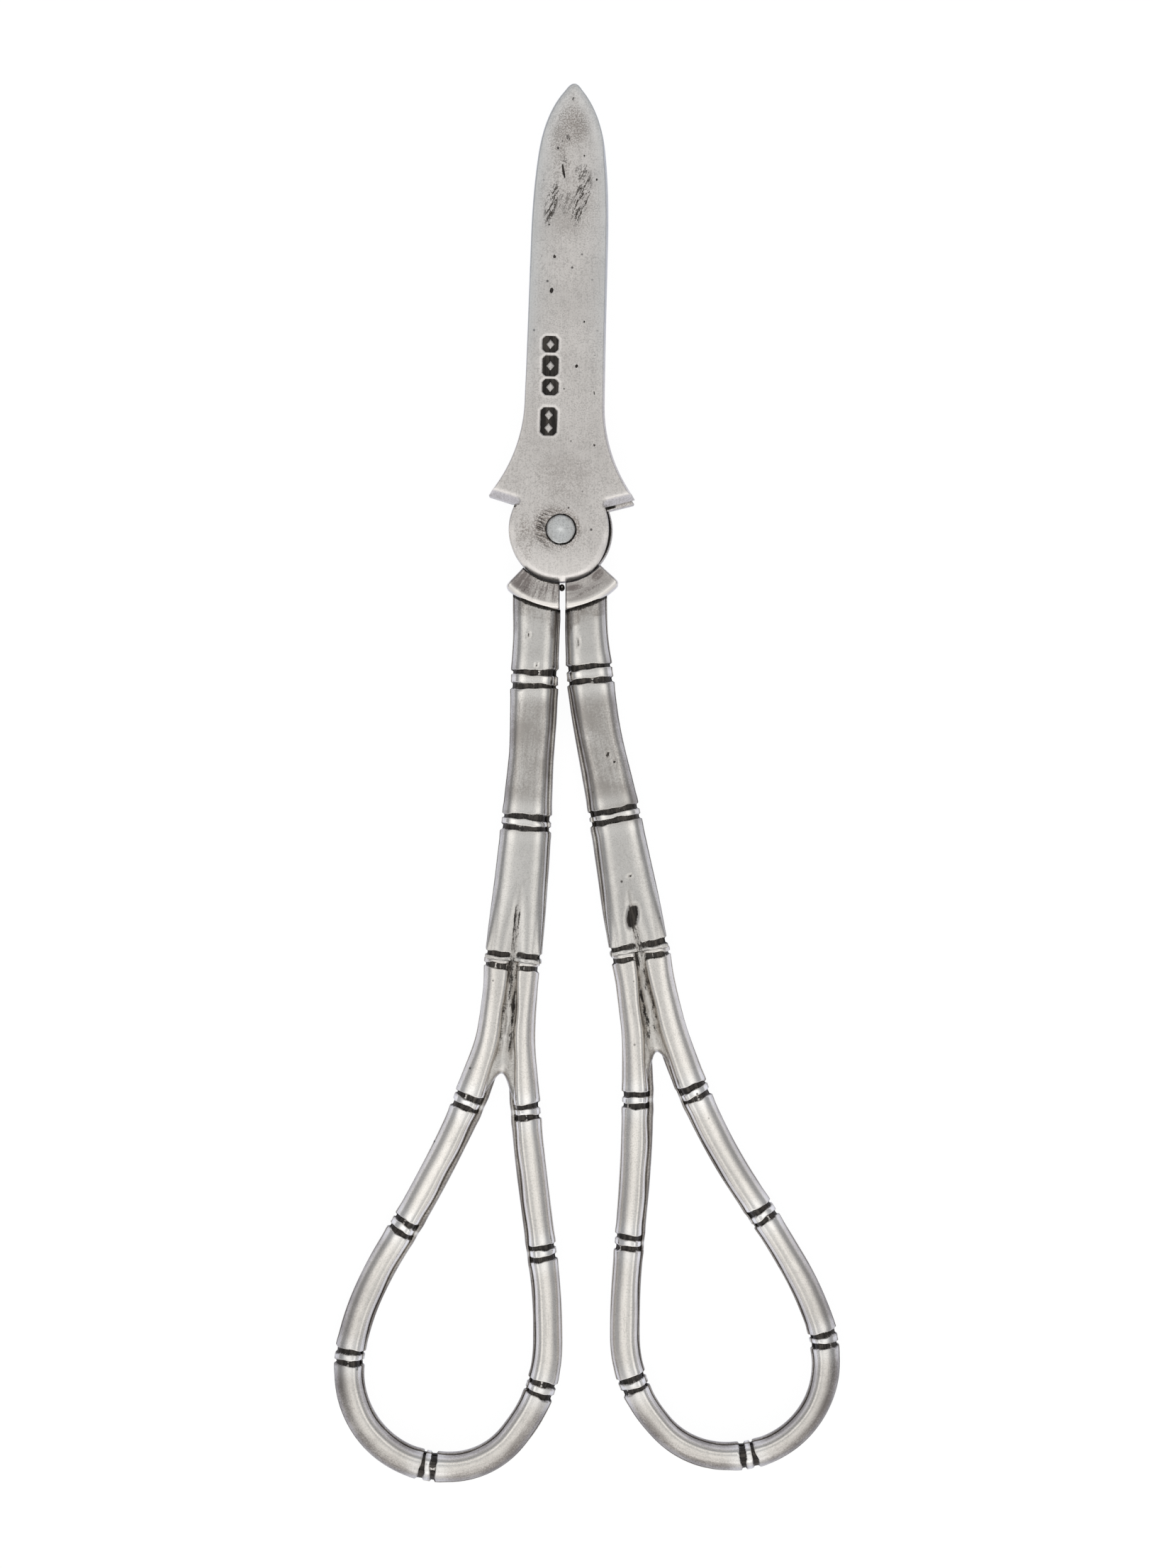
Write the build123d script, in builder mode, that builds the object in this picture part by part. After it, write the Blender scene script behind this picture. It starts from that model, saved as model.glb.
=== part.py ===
from build123d import *
import math
import os

# Silver grape shears, closed, lying on the rear blade's back. Millimetres.
# +X is right and +Y is towards the blade tips, seen from the front (+Z).
# The origin is on the pivot's axis, at the back face of the rear blade's eye.
# The rear half is the rear blade with the left stem and loop, and the front half
# is the front blade with the right stem and loop, turning on the rivet.

# Eyes and blade plates
plate_thickness = 2.15
parting_gap = 0.10
eye_radius = 6.50
eye_round = 0.60
eye_round_from = 195.0
eye_round_arc = 145.0
eye_relief = 0.50
running_gap = 0.20

# Blade outline, along its own axis from the pivot
blade_reach = 55.8
blade_width = 9.6
root_width = 10.0
blade_tilt = 1.73
tip_radius = 0.40
root_share = 0.287
point_share = 0.695
knee_share = 0.900
knee_width_share = 0.740
shoulder_span = 18.3
shoulder_height = 4.05
shoulder_fall = 2.60
shoulder_radius = 0.50
rear_shoulder_drop = 0.50
tip_taper = 0.70
taper_start = 9.0

# The front blade's flange, which the rear blade closes against, and the edges
flange_width = 1.20
nest_gap = 0.10
edge_bevel = 0.30

# Pivot rivet
shank_radius = 1.50
rivet_head_radius = 1.80
rivet_dome = 0.35
head_seat_depth = 0.50
head_clearance = 0.14
shank_clearance = 0.05
tail_radius = 2.20
tail_depth = 0.60

# Collars round the top of each stem
collar_width = 3.30
collar_depth = 4.30
collar_round = 0.60
collar_bevel = 0.40
collar_edge_left = 225.5
collar_edge_right = 318.0
left_side_gap = 0.15
right_side_gap = 0.58

# Tangs that run from each eye through its collar into the stem
tang_width = 2.6
tang_thickness = 1.20
tang_bite = 6.0

# Stems: each row holds shares of the split's drop, the split's lean and the
# split's width, from the collar down to the split. Every other row is a node.
stem_depth = 3.80
stem_bevel = 1.10
left_split_x = -6.00
left_split_drop = 53.9
left_split_width = 7.20
left_split_tilt = -6.5
left_stem_shares = [
    (0.124, 0.500, 0.833),
    (0.341, 0.547, 0.817),
    (0.510, 0.613, 0.780),
    (0.679, 0.720, 0.868),
    (1.000, 1.000, 1.000),
]
right_split_x = 9.83
right_split_drop = 52.7
right_split_width = 7.55
right_split_tilt = 9.0
right_stem_shares = [
    (0.124, 0.322, 0.706),
    (0.342, 0.370, 0.771),
    (0.512, 0.502, 0.795),
    (0.677, 0.686, 0.868),
    (1.000, 1.000, 1.000),
]

# Valley between the paired canes, from a point on the stem down to the crotch
valley_length = 8.5
valley_radius = 1.10
web_depth = 2.60

# Finger loops, each one cane bent from the split round and back to the split.
# Each row holds shares of the loop's spread and drop, for a corner of its line,
# and the share of the run to the next corner that this corner's bend may use.
cane_width = 3.65
cane_depth = 3.70
cane_bevel = 1.05
bend_fill_share = 0.96
crotch_radius = 0.55
loop_overrun = 2.0
left_loop_spread = 20.5
left_loop_drop = 63.55
left_loop_shares = [
    (0.163, 0.214, 0.50),
    (0.528, 0.454, 0.55),
    (0.815, 0.608, 0.50),
    (0.933, 0.689, 0.50),
    (1.004, 0.776, 0.14),
    (0.990, 1.000, 0.70),
    (0.147, 1.000, 0.48),
    (-0.212, 0.851, 0.60),
    (-0.212, 0.667, 0.50),
    (-0.088, 0.356, 0.50),
    (-0.051, 0.178, 0.60),
]
left_node_shares = [0.137, 0.255, 0.374, 0.500, 0.627, 0.742, 0.861]
left_crotch_reach = 14.0
right_loop_spread = 23.4
right_loop_drop = 63.4
right_loop_shares = [
    (0.172, 0.172, 0.50),
    (0.398, 0.372, 0.50),
    (0.741, 0.567, 0.50),
    (0.884, 0.657, 0.50),
    (0.985, 0.750, 0.14),
    (1.053, 1.000, 0.72),
    (0.251, 1.000, 0.48),
    (-0.077, 0.857, 0.60),
    (-0.077, 0.680, 0.50),
    (-0.012, 0.397, 0.50),
    (-0.007, 0.210, 0.60),
]
right_node_shares = [0.138, 0.255, 0.372, 0.502, 0.626, 0.745, 0.864]
right_crotch_reach = 12.6

# Bamboo nodes: pairs of narrow grooves cut round stems and canes
groove_width = 0.45
groove_depth = 0.33
groove_spacing = 1.55
cut_overrun = 1.0

stack_depth = 2 * plate_thickness + parting_gap
middle_z = stack_depth / 2
front_plate_z = plate_thickness + parting_gap
collar_radius = eye_radius + running_gap + collar_width
tang_reach = collar_radius + tang_bite
rear_tang_z = plate_thickness - tang_thickness
blade_plane = Plane.XY.rotated((0, 0, -blade_tilt))
flange_inner = blade_width / 2 - flange_width


def blade_outline(corner_height):
    """Straight sides, a point of two arcs a side, and a hollow flare to the
    shoulders, whose undersides fall towards the eye."""
    tip = (0, blade_reach)
    knee = (knee_width_share * blade_width / 2, knee_share * blade_reach)
    point_start = (blade_width / 2, point_share * blade_reach)
    root = (root_width / 2, root_share * blade_reach)
    corner = (shoulder_span / 2, corner_height)
    with BuildSketch() as outline:
        with BuildLine():
            side = Line(root, point_start)
            upper = TangentArc(point_start, knee, tangent=side % 1)
            TangentArc(knee, tip, tangent=upper % 1)
            TangentArc(root, corner, tangent=(side % 0) * -1)
            Line(corner, (0, corner_height - shoulder_fall))
            mirror(about=Plane.YZ)
        make_face()
        fillet(outline.vertices().sort_by(Axis.Y)[-1], tip_radius)
        fillet(outline.vertices().sort_by(Axis.X)[0], shoulder_radius)
        fillet(outline.vertices().sort_by(Axis.X)[-1], shoulder_radius)
    return outline.sketch


def front_eye_outline():
    """The eye's disc, filed back on its right so that the rear eye shows."""
    relief_radius = eye_radius + 2 * eye_relief
    with BuildSketch() as eye:
        Circle(eye_radius)
        with Locations((eye_radius - eye_relief - relief_radius, 0)):
            Circle(relief_radius, mode=Mode.INTERSECT)
    return eye.sketch


def collar_outline(side, side_gap, edge_angle):
    """A ring sector from the parting line to a radial edge, its corner rounded."""
    far = 2 * collar_radius
    edge = math.radians(edge_angle)
    with BuildSketch() as ring:
        Circle(collar_radius)
        Circle(eye_radius, mode=Mode.SUBTRACT)
        with BuildLine():
            Polyline(
                (side * side_gap, 0),
                (far * math.cos(edge), far * math.sin(edge)),
                (side * side_gap, -far),
                close=True,
            )
        make_face(mode=Mode.INTERSECT)
        outer = ring.vertices().sort_by(Axis.X)[-1 if side > 0 else 0]
        fillet(outer, collar_round)
    return ring.sketch


def stem_stations(shares, split_x, split_drop, split_width):
    """Centre, width and downward direction at each row of a stem's table."""
    centres = [Vector(lean * split_x, -drop * split_drop, middle_z) for drop, lean, _ in shares]
    widths = [width * split_width for _, _, width in shares]
    ways = [
        (centres[min(i + 1, len(centres) - 1)] - centres[max(i - 1, 0)]).normalized()
        for i in range(len(centres))
    ]
    return list(zip(centres, widths, ways))


def plane_across(centre, way):
    """A plane square to a direction in the XY plane, with its own Y along +Z."""
    return Plane(origin=centre, x_dir=Vector(-way.Y, way.X, 0), z_dir=way)


def bevelled_section(width, depth, bevel):
    """The section of a stem or cane: a rectangle with its four corners cut off."""
    with BuildSketch() as section:
        Rectangle(width, depth)
        chamfer(section.vertices(), bevel)
    return section.sketch


def groove_ring(width, depth, bevel):
    """What a groove removes: a frame round a section smaller by its depth."""
    core = bevelled_section(width - 2 * groove_depth, depth - 2 * groove_depth, bevel)
    with BuildSketch() as ring:
        Rectangle(width + 2 * cut_overrun, depth + 2 * cut_overrun)
        add(core, mode=Mode.SUBTRACT)
    return ring.sketch


def bend_radii(points, run_shares):
    """The largest radius at each corner that its shares of the two runs allow."""
    runs = [(b - a).length for a, b in zip(points, points[1:])]
    radii = []
    for i in range(1, len(points) - 1):
        turn = (points[i] - points[i - 1]).get_angle(points[i + 1] - points[i])
        before = (1 - run_shares[i - 1]) * runs[i - 1]
        after = run_shares[i] * runs[i]
        radii.append(
            bend_fill_share * min(before, after) / math.tan(math.radians(turn / 2))
        )
    return radii


def seam_plane(split_x, split_drop, tilt):
    """The plane where a stem ends and its loop begins, facing down the handle."""
    down = math.radians(tilt - 90)
    way = Vector(math.cos(down), math.sin(down), 0)
    return plane_across(Vector(split_x, -split_drop, middle_z), way)


def loop_line(side, seam, split_width, spread, drop, shares):
    """The cane's centre line: from the seam's outer half, down, round and back
    up to its inner half, with both ends run past the seam."""
    quarter = seam.x_dir * (side * split_width / 4)
    corners = [seam.origin + Vector(side * x * spread, -y * drop) for x, y, _ in shares]
    outer = seam.origin + quarter
    inner = seam.origin - quarter
    start = outer - (corners[0] - outer).normalized() * loop_overrun
    end = inner - (corners[-1] - inner).normalized() * loop_overrun
    points = [start] + corners + [end]
    run_shares = [0] + [run for _, _, run in shares]
    with BuildLine() as line:
        FilletPolyline(*points, radius=bend_radii(points, run_shares))
    return line.wire()


head_floor = stack_depth - head_seat_depth + shank_clearance
dome_radius = (rivet_head_radius**2 + rivet_dome**2) / (2 * rivet_dome)

with BuildPart() as pivot_rivet:
    with BuildSketch(Plane.XZ):
        with BuildLine():
            Polyline(
                (0, stack_depth + rivet_dome),
                (0, 0),
                (tail_radius, 0),
                (shank_radius, tail_depth),
                (shank_radius, head_floor),
                (rivet_head_radius, head_floor),
                (rivet_head_radius, stack_depth),
            )
            RadiusArc(
                (rivet_head_radius, stack_depth), (0, stack_depth + rivet_dome), -dome_radius
            )
        make_face()
    revolve(axis=Axis.Z)
pivot_rivet.part.label = "pivot_rivet"

front_outline = blade_outline(shoulder_height)
rear_outline = blade_outline(shoulder_height - rear_shoulder_drop)
front_eye = front_eye_outline()
side_plane = Plane(origin=(0, 0, 0), x_dir=blade_plane.y_dir, z_dir=blade_plane.x_dir)


def taper_wedge(face_z, outward):
    """What is filed off a blade's outer face, from the taper's start to the tip."""
    far = blade_reach + cut_overrun
    drop = tip_taper * (far - taper_start) / (blade_reach - taper_start)
    with BuildSketch() as wedge:
        with BuildLine():
            Polyline(
                (taper_start, face_z),
                (far, face_z - outward * drop),
                (far, face_z + outward * cut_overrun),
                (taper_start, face_z + outward * cut_overrun),
                close=True,
            )
        make_face()
    return wedge.sketch


def straight_edge(blade, side, face_z):
    """The long straight edge of a blade's outer face, on one side of its axis."""
    return (
        blade.edges()
        .filter_by(GeomType.LINE)
        .filter_by(lambda e: side * (e @ 0.5).dot(blade_plane.x_dir) > tip_radius)
        .filter_by(lambda e: abs((e @ 0.5).Z - face_z) < tip_taper)
        .sort_by(SortBy.LENGTH)[-1]
    )


with BuildPart() as front_blade:
    with BuildSketch(blade_plane.offset(front_plate_z)):
        add(front_outline)
        add(front_eye)
    extrude(amount=plate_thickness)
    with BuildSketch(blade_plane):
        add(front_outline)
        with Locations((-flange_inner, 0)):
            Rectangle(
                blade_reach, 3 * blade_reach, align=(Align.MAX, Align.CENTER), mode=Mode.INTERSECT
            )
        Circle(eye_radius + running_gap, mode=Mode.SUBTRACT)
    extrude(amount=front_plate_z)
    with BuildSketch(side_plane):
        add(taper_wedge(stack_depth, 1))
        add(taper_wedge(0, -1))
    extrude(amount=shoulder_span, both=True, mode=Mode.SUBTRACT)
    chamfer(straight_edge(front_blade, 1, stack_depth), edge_bevel)
    with BuildSketch(Plane.XZ.rotated((0, 0, eye_round_from))):
        with Locations((eye_radius - eye_round, stack_depth - eye_round)):
            Rectangle(2 * eye_round, 2 * eye_round, align=(Align.MIN, Align.MIN))
            Circle(eye_round, mode=Mode.SUBTRACT)
    revolve(axis=Axis.Z, revolution_arc=eye_round_arc, mode=Mode.SUBTRACT)
    with BuildSketch(Plane.XY.offset(front_plate_z)):
        with Locations((right_stem_shares[0][1] * right_split_x, -tang_reach)):
            Rectangle(tang_width, tang_reach - eye_radius / 2, align=(Align.CENTER, Align.MIN))
    extrude(amount=tang_thickness)
    with Locations((0, 0, stack_depth)):
        CounterBoreHole(
            shank_radius + shank_clearance, rivet_head_radius + head_clearance, head_seat_depth
        )
front_blade.part.label = "front_blade"

with BuildPart() as rear_blade:
    with BuildSketch(blade_plane):
        add(rear_outline)
        with Locations((nest_gap - flange_inner, 0)):
            Rectangle(
                blade_reach, 3 * blade_reach, align=(Align.MIN, Align.CENTER), mode=Mode.INTERSECT
            )
        Circle(eye_radius)
    extrude(amount=plate_thickness)
    with BuildSketch(side_plane):
        add(taper_wedge(0, -1))
    extrude(amount=shoulder_span, both=True, mode=Mode.SUBTRACT)
    chamfer(straight_edge(rear_blade, -1, 0), edge_bevel)
    with BuildSketch(Plane.XY.offset(rear_tang_z)):
        with Locations((left_stem_shares[0][1] * left_split_x, -tang_reach)):
            Rectangle(tang_width, tang_reach - eye_radius / 2, align=(Align.CENTER, Align.MIN))
    extrude(amount=tang_thickness)
    add(pivot_rivet.part, mode=Mode.SUBTRACT)
rear_blade.part.label = "rear_blade"


def make_collar(name, side, side_gap, edge_angle, blade, running_z):
    """A collar that seats on its own blade's eye and tang and clears the other
    blade's eye, whose plate starts at running_z."""
    with BuildPart() as collar:
        with BuildSketch(Plane.XY.offset(middle_z - collar_depth / 2)):
            add(collar_outline(side, side_gap, edge_angle))
        extrude(amount=collar_depth)
        rims = collar.edges().filter_by(GeomType.CIRCLE)
        rims = rims.filter_by(lambda e: abs(e.radius - collar_radius) < collar_bevel)
        chamfer(rims.filter_by(Plane.XY), collar_bevel)
        with Locations((0, 0, running_z)):
            Cylinder(
                eye_radius + running_gap,
                plate_thickness + 2 * parting_gap,
                align=(Align.CENTER, Align.CENTER, Align.MIN),
                mode=Mode.SUBTRACT,
            )
        add(blade, mode=Mode.SUBTRACT)
    collar.part.label = name
    return collar


left_collar = make_collar(
    "left_collar", -1, left_side_gap, collar_edge_left, rear_blade.part, plate_thickness
)
right_collar = make_collar(
    "right_collar", 1, right_side_gap, collar_edge_right, front_blade.part, -parting_gap
)


def make_stem(name, stations, seam, blade):
    """A flat-fronted bamboo stem with bevelled long edges, from under the collar
    to the seam with its loop, with its node grooves and the valley's start."""
    with BuildPart() as stem:
        for centre, width, way in stations[:-1]:
            with BuildSketch(plane_across(centre, way)):
                add(bevelled_section(width, stem_depth, stem_bevel))
        seam_width = stations[-1][1]
        with BuildSketch(seam):
            add(bevelled_section(seam_width, stem_depth, stem_bevel))
        loft(ruled=True)
        with Locations((0, 0, middle_z)):
            Cylinder(collar_radius, 2 * stem_depth, mode=Mode.SUBTRACT)
        for centre, width, way in stations[1:-1:2]:
            for offset in (-groove_spacing / 2, groove_spacing / 2):
                with BuildSketch(plane_across(centre + way * offset, way)):
                    add(groove_ring(width, stem_depth, stem_bevel))
                extrude(amount=groove_width / 2, both=True, mode=Mode.SUBTRACT)
        with BuildSketch(seam.offset(-groove_spacing / 2)):
            add(groove_ring(seam_width, stem_depth, stem_bevel))
        extrude(amount=groove_width / 2, both=True, mode=Mode.SUBTRACT)
        for face_z in (-stem_depth / 2, stem_depth / 2):
            with Locations(Plane(origin=seam.origin + Vector(0, 0, face_z), z_dir=-seam.z_dir)):
                Cone(
                    valley_radius,
                    0,
                    valley_length,
                    align=(Align.CENTER, Align.CENTER, Align.MIN),
                    mode=Mode.SUBTRACT,
                )
        add(blade, mode=Mode.SUBTRACT)
    stem.part.label = name
    return stem


def make_loop(name, seam, line, node_shares, crotch_reach):
    """A finger loop: the swept cane, cut flush at the seam, with its node
    grooves and the web that joins the two canes down to the crotch."""
    crotch_length = loop_overrun + crotch_reach
    web_corners = [
        line @ 0,
        line.position_at(crotch_length, PositionMode.LENGTH),
        line.position_at(line.length - crotch_length, PositionMode.LENGTH),
        line @ 1,
    ]
    crotch = (web_corners[1] + web_corners[2]) / 2
    with BuildPart() as loop:
        with BuildSketch(plane_across(line @ 0, line % 0)):
            add(bevelled_section(cane_width, cane_depth, cane_bevel))
        sweep(path=line)
        for share in node_shares:
            way = line % share
            for offset in (-groove_spacing / 2, groove_spacing / 2):
                with BuildSketch(plane_across(line @ share + way * offset, way)):
                    add(groove_ring(cane_width, cane_depth, cane_bevel))
                extrude(amount=groove_width / 2, both=True, mode=Mode.SUBTRACT)
        with BuildSketch(Plane.XY.offset(middle_z - web_depth / 2)):
            with BuildLine():
                Polyline([(p.X, p.Y) for p in web_corners], close=True)
            make_face()
            with Locations((crotch.X, crotch.Y)):
                Circle(crotch_radius, mode=Mode.SUBTRACT)
        extrude(amount=web_depth)
        split(bisect_by=seam, keep=Keep.TOP)
        with BuildSketch(seam.offset(groove_spacing / 2)):
            add(groove_ring(2 * cane_width, cane_depth, cane_bevel))
        extrude(amount=groove_width / 2, both=True, mode=Mode.SUBTRACT)
    loop.part.label = name
    return loop


left_seam = seam_plane(left_split_x, left_split_drop, left_split_tilt)
right_seam = seam_plane(right_split_x, right_split_drop, right_split_tilt)
left_line = loop_line(
    -1, left_seam, left_split_width, left_loop_spread, left_loop_drop, left_loop_shares
)
right_line = loop_line(
    1, right_seam, right_split_width, right_loop_spread, right_loop_drop, right_loop_shares
)
left_stations = stem_stations(left_stem_shares, left_split_x, left_split_drop, left_split_width)
right_stations = stem_stations(
    right_stem_shares, right_split_x, right_split_drop, right_split_width
)
left_stem = make_stem("left_stem", left_stations, left_seam, rear_blade.part)
right_stem = make_stem("right_stem", right_stations, right_seam, front_blade.part)
left_loop = make_loop(
    "left_finger_loop", left_seam, left_line, left_node_shares, left_crotch_reach
)
right_loop = make_loop(
    "right_finger_loop", right_seam, right_line, right_node_shares, right_crotch_reach
)

os.makedirs("parts", exist_ok=True)
pieces = (
    front_blade,
    rear_blade,
    pivot_rivet,
    left_collar,
    right_collar,
    left_stem,
    right_stem,
    left_loop,
    right_loop,
)
for piece in pieces:
    export_step(piece.part, f"parts/{piece.part.label}.step")
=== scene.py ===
import functools
import math
import bpy
import numpy as np
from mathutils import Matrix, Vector


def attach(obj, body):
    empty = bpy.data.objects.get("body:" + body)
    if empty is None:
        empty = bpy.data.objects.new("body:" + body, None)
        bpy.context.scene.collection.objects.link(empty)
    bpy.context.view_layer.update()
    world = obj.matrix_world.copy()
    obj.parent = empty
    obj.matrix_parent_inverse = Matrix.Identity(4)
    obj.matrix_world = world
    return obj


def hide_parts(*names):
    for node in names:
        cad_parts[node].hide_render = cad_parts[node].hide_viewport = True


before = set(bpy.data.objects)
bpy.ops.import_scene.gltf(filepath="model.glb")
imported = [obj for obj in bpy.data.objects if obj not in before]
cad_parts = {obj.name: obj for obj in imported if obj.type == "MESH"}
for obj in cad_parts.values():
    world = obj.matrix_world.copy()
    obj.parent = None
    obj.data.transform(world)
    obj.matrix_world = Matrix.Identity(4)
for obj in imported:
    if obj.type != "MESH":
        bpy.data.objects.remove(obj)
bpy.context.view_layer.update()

# Lengths are millimetres until a mesh is made. The blades' own axis leans right.
MM = 0.001
plate_thickness = 2.15
front_plate_z = 2.25
stack_depth = 4.40
middle_z = 2.20
eye_radius = 6.50
collar_radius = 10.0
blade_lean = math.radians(1.73)
blade_reach = 55.8
blade_tip_taper = 0.70
taper_start = 9.0
shoulder_half_span = 9.15
shoulder_fall = 2.60
front_corner = 4.05
rear_corner = 3.55
flange_inner = 3.60
rear_plate_half = 3.50

# Half widths of a blade at places along its axis, from its root to its nose
blade_halves = [
    (16.01, 5.00), (21.8, 4.92), (28.0, 4.87), (34.6, 4.83), (38.8, 4.77), (43.1, 4.56), (45.9, 4.31),
    (48.8, 3.88), (50.2, 3.53), (51.6, 3.05), (53.0, 2.40), (54.3, 1.58), (55.1, 0.95),
]

# Stems: at these rows of y each stem has its left and its right edge, from under the
# collar to the seam. A ledge is a row of distances below the pivot and widths there, a
# node is its y and how far apart its two grooves are, and the valley is how far above
# the seam the crown begins to part. Pits and stains are marks as in struck.
stem_rows = [-8.6, -10, -13, -16, -20, -24, -28, -32, -36, -40, -44, -48, -52, -55]
left_stem = {
    "left": [-6.02, -6.02, -6.00, -6.14, -6.32, -6.40, -6.52, -6.94, -7.38, -7.88, -8.36, -8.89, -9.38, -9.72],
    "right": [-0.05, -0.05, -0.14, -0.26, -0.37, -0.55, -0.85, -1.02, -1.17, -1.35, -1.61, -1.90, -2.24, -2.48],
    "left_ledge": [(8, 0.18), (17, 0.12), (36, 0.10), (54, 0.10)],
    "right_ledge": [(8, 0.26), (17, 0.34), (20, 0.58), (36, 0.56), (38, 0.34), (54, 0.26)],
    "nodes": [(-18.7, 1.69), (-36.6, 1.42)],
    "valley": 9.6,
    "pits": [(-4.1, -13.2, 0.45, 0.12, 4, 0.8), (-3.05, -16.9, 0.35, 0.09, -10, 0.8)],
    "stains": [(-5.0, -9.3, 1.0, 1.3, 0, 0.9), (-5.6, -11.2, 1.6, 0.35, 0, 0.7),
               (-2.2, -9.9, 1.3, 0.5, 80, 0.6), (-0.95, -11.4, 2.2, 0.55, 0, 0.9)],
}
right_stem = {
    "left": [0.53, 0.52, 0.52, 0.60, 0.87, 1.42, 2.11, 2.82, 3.50, 4.08, 4.66, 5.22, 5.92, 6.36],
    "right": [5.80, 5.82, 5.92, 6.28, 6.81, 7.36, 8.18, 9.18, 10.09, 10.98, 11.87, 12.72, 13.46, 14.05],
    "left_ledge": [(8, 0.12), (17, 0.16), (20, 0.40), (30, 0.62), (35, 0.46), (38, 0.60), (47, 0.40), (54, 0.18)],
    "right_ledge": [(8, 0.20), (17, 0.16), (20, 0.12), (54, 0.10)],
    "nodes": [(-18.0, 1.77), (-35.7, 1.24)],
    "valley": 8.0,
    "pits": [(8.94, -48.30, 1.65, 0.80, 12, 0.86), (8.62, -43.35, 0.22, 0.20, 0, 1.0),
             (5.9, -28.1, 0.42, 0.22, 15, 0.9), (6.7, -29.0, 0.30, 0.18, 0, 0.9),
             (2.15, -14.3, 0.80, 0.10, 4, 0.75)],
    "stains": [(4.9, -9.6, 0.8, 0.9, 0, 0.8), (1.6, -10.1, 0.8, 1.6, 80, 0.7), (1.05, -11.2, 1.9, 0.5, 0, 0.9)],
}
left_seam = {"x": -6.00, "drop": 53.9, "tilt": -6.5, "width": 7.20}
right_seam = {"x": 9.83, "drop": 52.7, "tilt": 9.0, "width": 7.55}

# Loops: corners of each cane's centre line as shares of its spread and drop, with
# the share of the run to the next corner that the corner's bend may use. Trim is how
# far the outer edge draws in at the seam, then on the outer and on the inner cane.
left_loop = {
    "spread": 20.5, "drop": 63.55, "side": -1, "crotch": 14.0,
    "corners": [
        (0.163, 0.214, 0.50), (0.528, 0.454, 0.55), (0.815, 0.608, 0.50), (0.933, 0.689, 0.50),
        (1.004, 0.776, 0.14), (0.990, 1.000, 0.70), (0.147, 1.000, 0.48), (-0.212, 0.851, 0.60),
        (-0.212, 0.667, 0.50), (-0.088, 0.356, 0.50), (-0.051, 0.178, 0.60),
    ],
    "nodes": [0.137, 0.255, 0.374, 0.500, 0.627, 0.742, 0.861],
    "widths": [
        (0.0, 4.1), (0.10, 4.35), (0.15, 4.05), (0.20, 3.90), (0.30, 3.80), (0.37, 3.72),
        (0.45, 3.70), (0.50, 3.72), (0.58, 3.66), (0.64, 3.74), (0.72, 3.70), (0.80, 3.78),
        (0.90, 3.75), (1.0, 3.7),
    ],
    "trim": (0.25, 0.60, 0.32), "smooth_crotch": 0.85,
    "ledges": [
        (0.0, 0.40), (0.03, 0.56), (0.055, 0.74), (0.09, 0.70), (0.15, 0.70), (0.25, 0.62), (0.33, 0.40),
        (0.38, 0.26), (0.50, 0.20), (0.60, 0.24), (0.70, 0.38), (0.80, 0.52), (0.87, 0.58), (0.91, 0.68),
        (0.945, 0.74), (0.97, 0.56), (1.0, 0.40),
    ],
}
right_loop = {
    "spread": 23.4, "drop": 63.4, "side": 1, "crotch": 12.6,
    "corners": [
        (0.172, 0.172, 0.50), (0.398, 0.372, 0.50), (0.741, 0.567, 0.50), (0.884, 0.657, 0.50),
        (0.985, 0.750, 0.14), (1.053, 1.000, 0.72), (0.251, 1.000, 0.48), (-0.077, 0.857, 0.60),
        (-0.077, 0.680, 0.50), (-0.012, 0.397, 0.50), (-0.007, 0.210, 0.60),
    ],
    "nodes": [0.138, 0.255, 0.372, 0.502, 0.626, 0.745, 0.864],
    "widths": [
        (0.0, 4.0), (0.10, 4.25), (0.15, 3.95), (0.22, 3.68), (0.30, 3.60), (0.38, 3.58),
        (0.44, 3.35), (0.50, 3.42), (0.58, 3.35), (0.64, 3.74), (0.72, 3.66), (0.80, 3.86),
        (0.90, 3.92), (1.0, 3.8),
    ],
    "trim": (0.11, 0.28, 0.32), "smooth_crotch": 0.35,
    "ledges": [
        (0.0, 0.28), (0.03, 0.42), (0.055, 0.58), (0.085, 0.60), (0.13, 0.38), (0.30, 0.30), (0.38, 0.26),
        (0.50, 0.18), (0.62, 0.22), (0.72, 0.34), (0.80, 0.56), (0.87, 0.74), (0.91, 0.70), (0.945, 0.60),
        (0.97, 0.44), (1.0, 0.28),
    ],
}
half_depth = 1.85
ledge_height = 0.22
back_edge = -0.42
groove_width = 0.68
groove_depth = 0.28
loop_groove_spacing = 1.40
seam_groove_spacing = 1.52
overrun = 2.0
stem_head_y = -7.9
settling = 6.0
course_step = 0.05


def ramp(x, low, high):
    """0 below low, 1 above high, and 3t^2 - 2t^3 in between."""
    t = np.clip((x - low) / (high - low), 0, 1)
    return t * t * (3 - 2 * t)


def fade(x, low, high):
    """The same from 1 to 0."""
    return 1 - ramp(x, low, high)


def hill(x, middle, width):
    """The bell exp(-((x - middle) / width)^2)."""
    return np.exp(-(((x - middle) / width) ** 2))


def edge_drop(distance, radius):
    """How far a rounded edge lies below its face, at a distance in from the rim:
    a quarter circle of that radius."""
    inside = np.clip(distance, 0, radius)
    return radius - root(radius**2 - (radius - inside) ** 2)


def ripple(x, y, scale, seed):
    """Soft unevenness from -1 to 1: five sine waves of unlike directions, summed."""
    total = 0
    for k in range(5):
        turn = 2.4 * k + seed
        pitch = scale * (1 + 0.37 * k)
        total = total + np.sin((x * math.cos(turn) + y * math.sin(turn)) / pitch + 1.7 * turn)
    return total / 5


def patches(x, y, scale, seed):
    """The same unevenness from 0 to 1."""
    return 0.5 + 0.5 * ripple(x, y, scale, seed)


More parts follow.
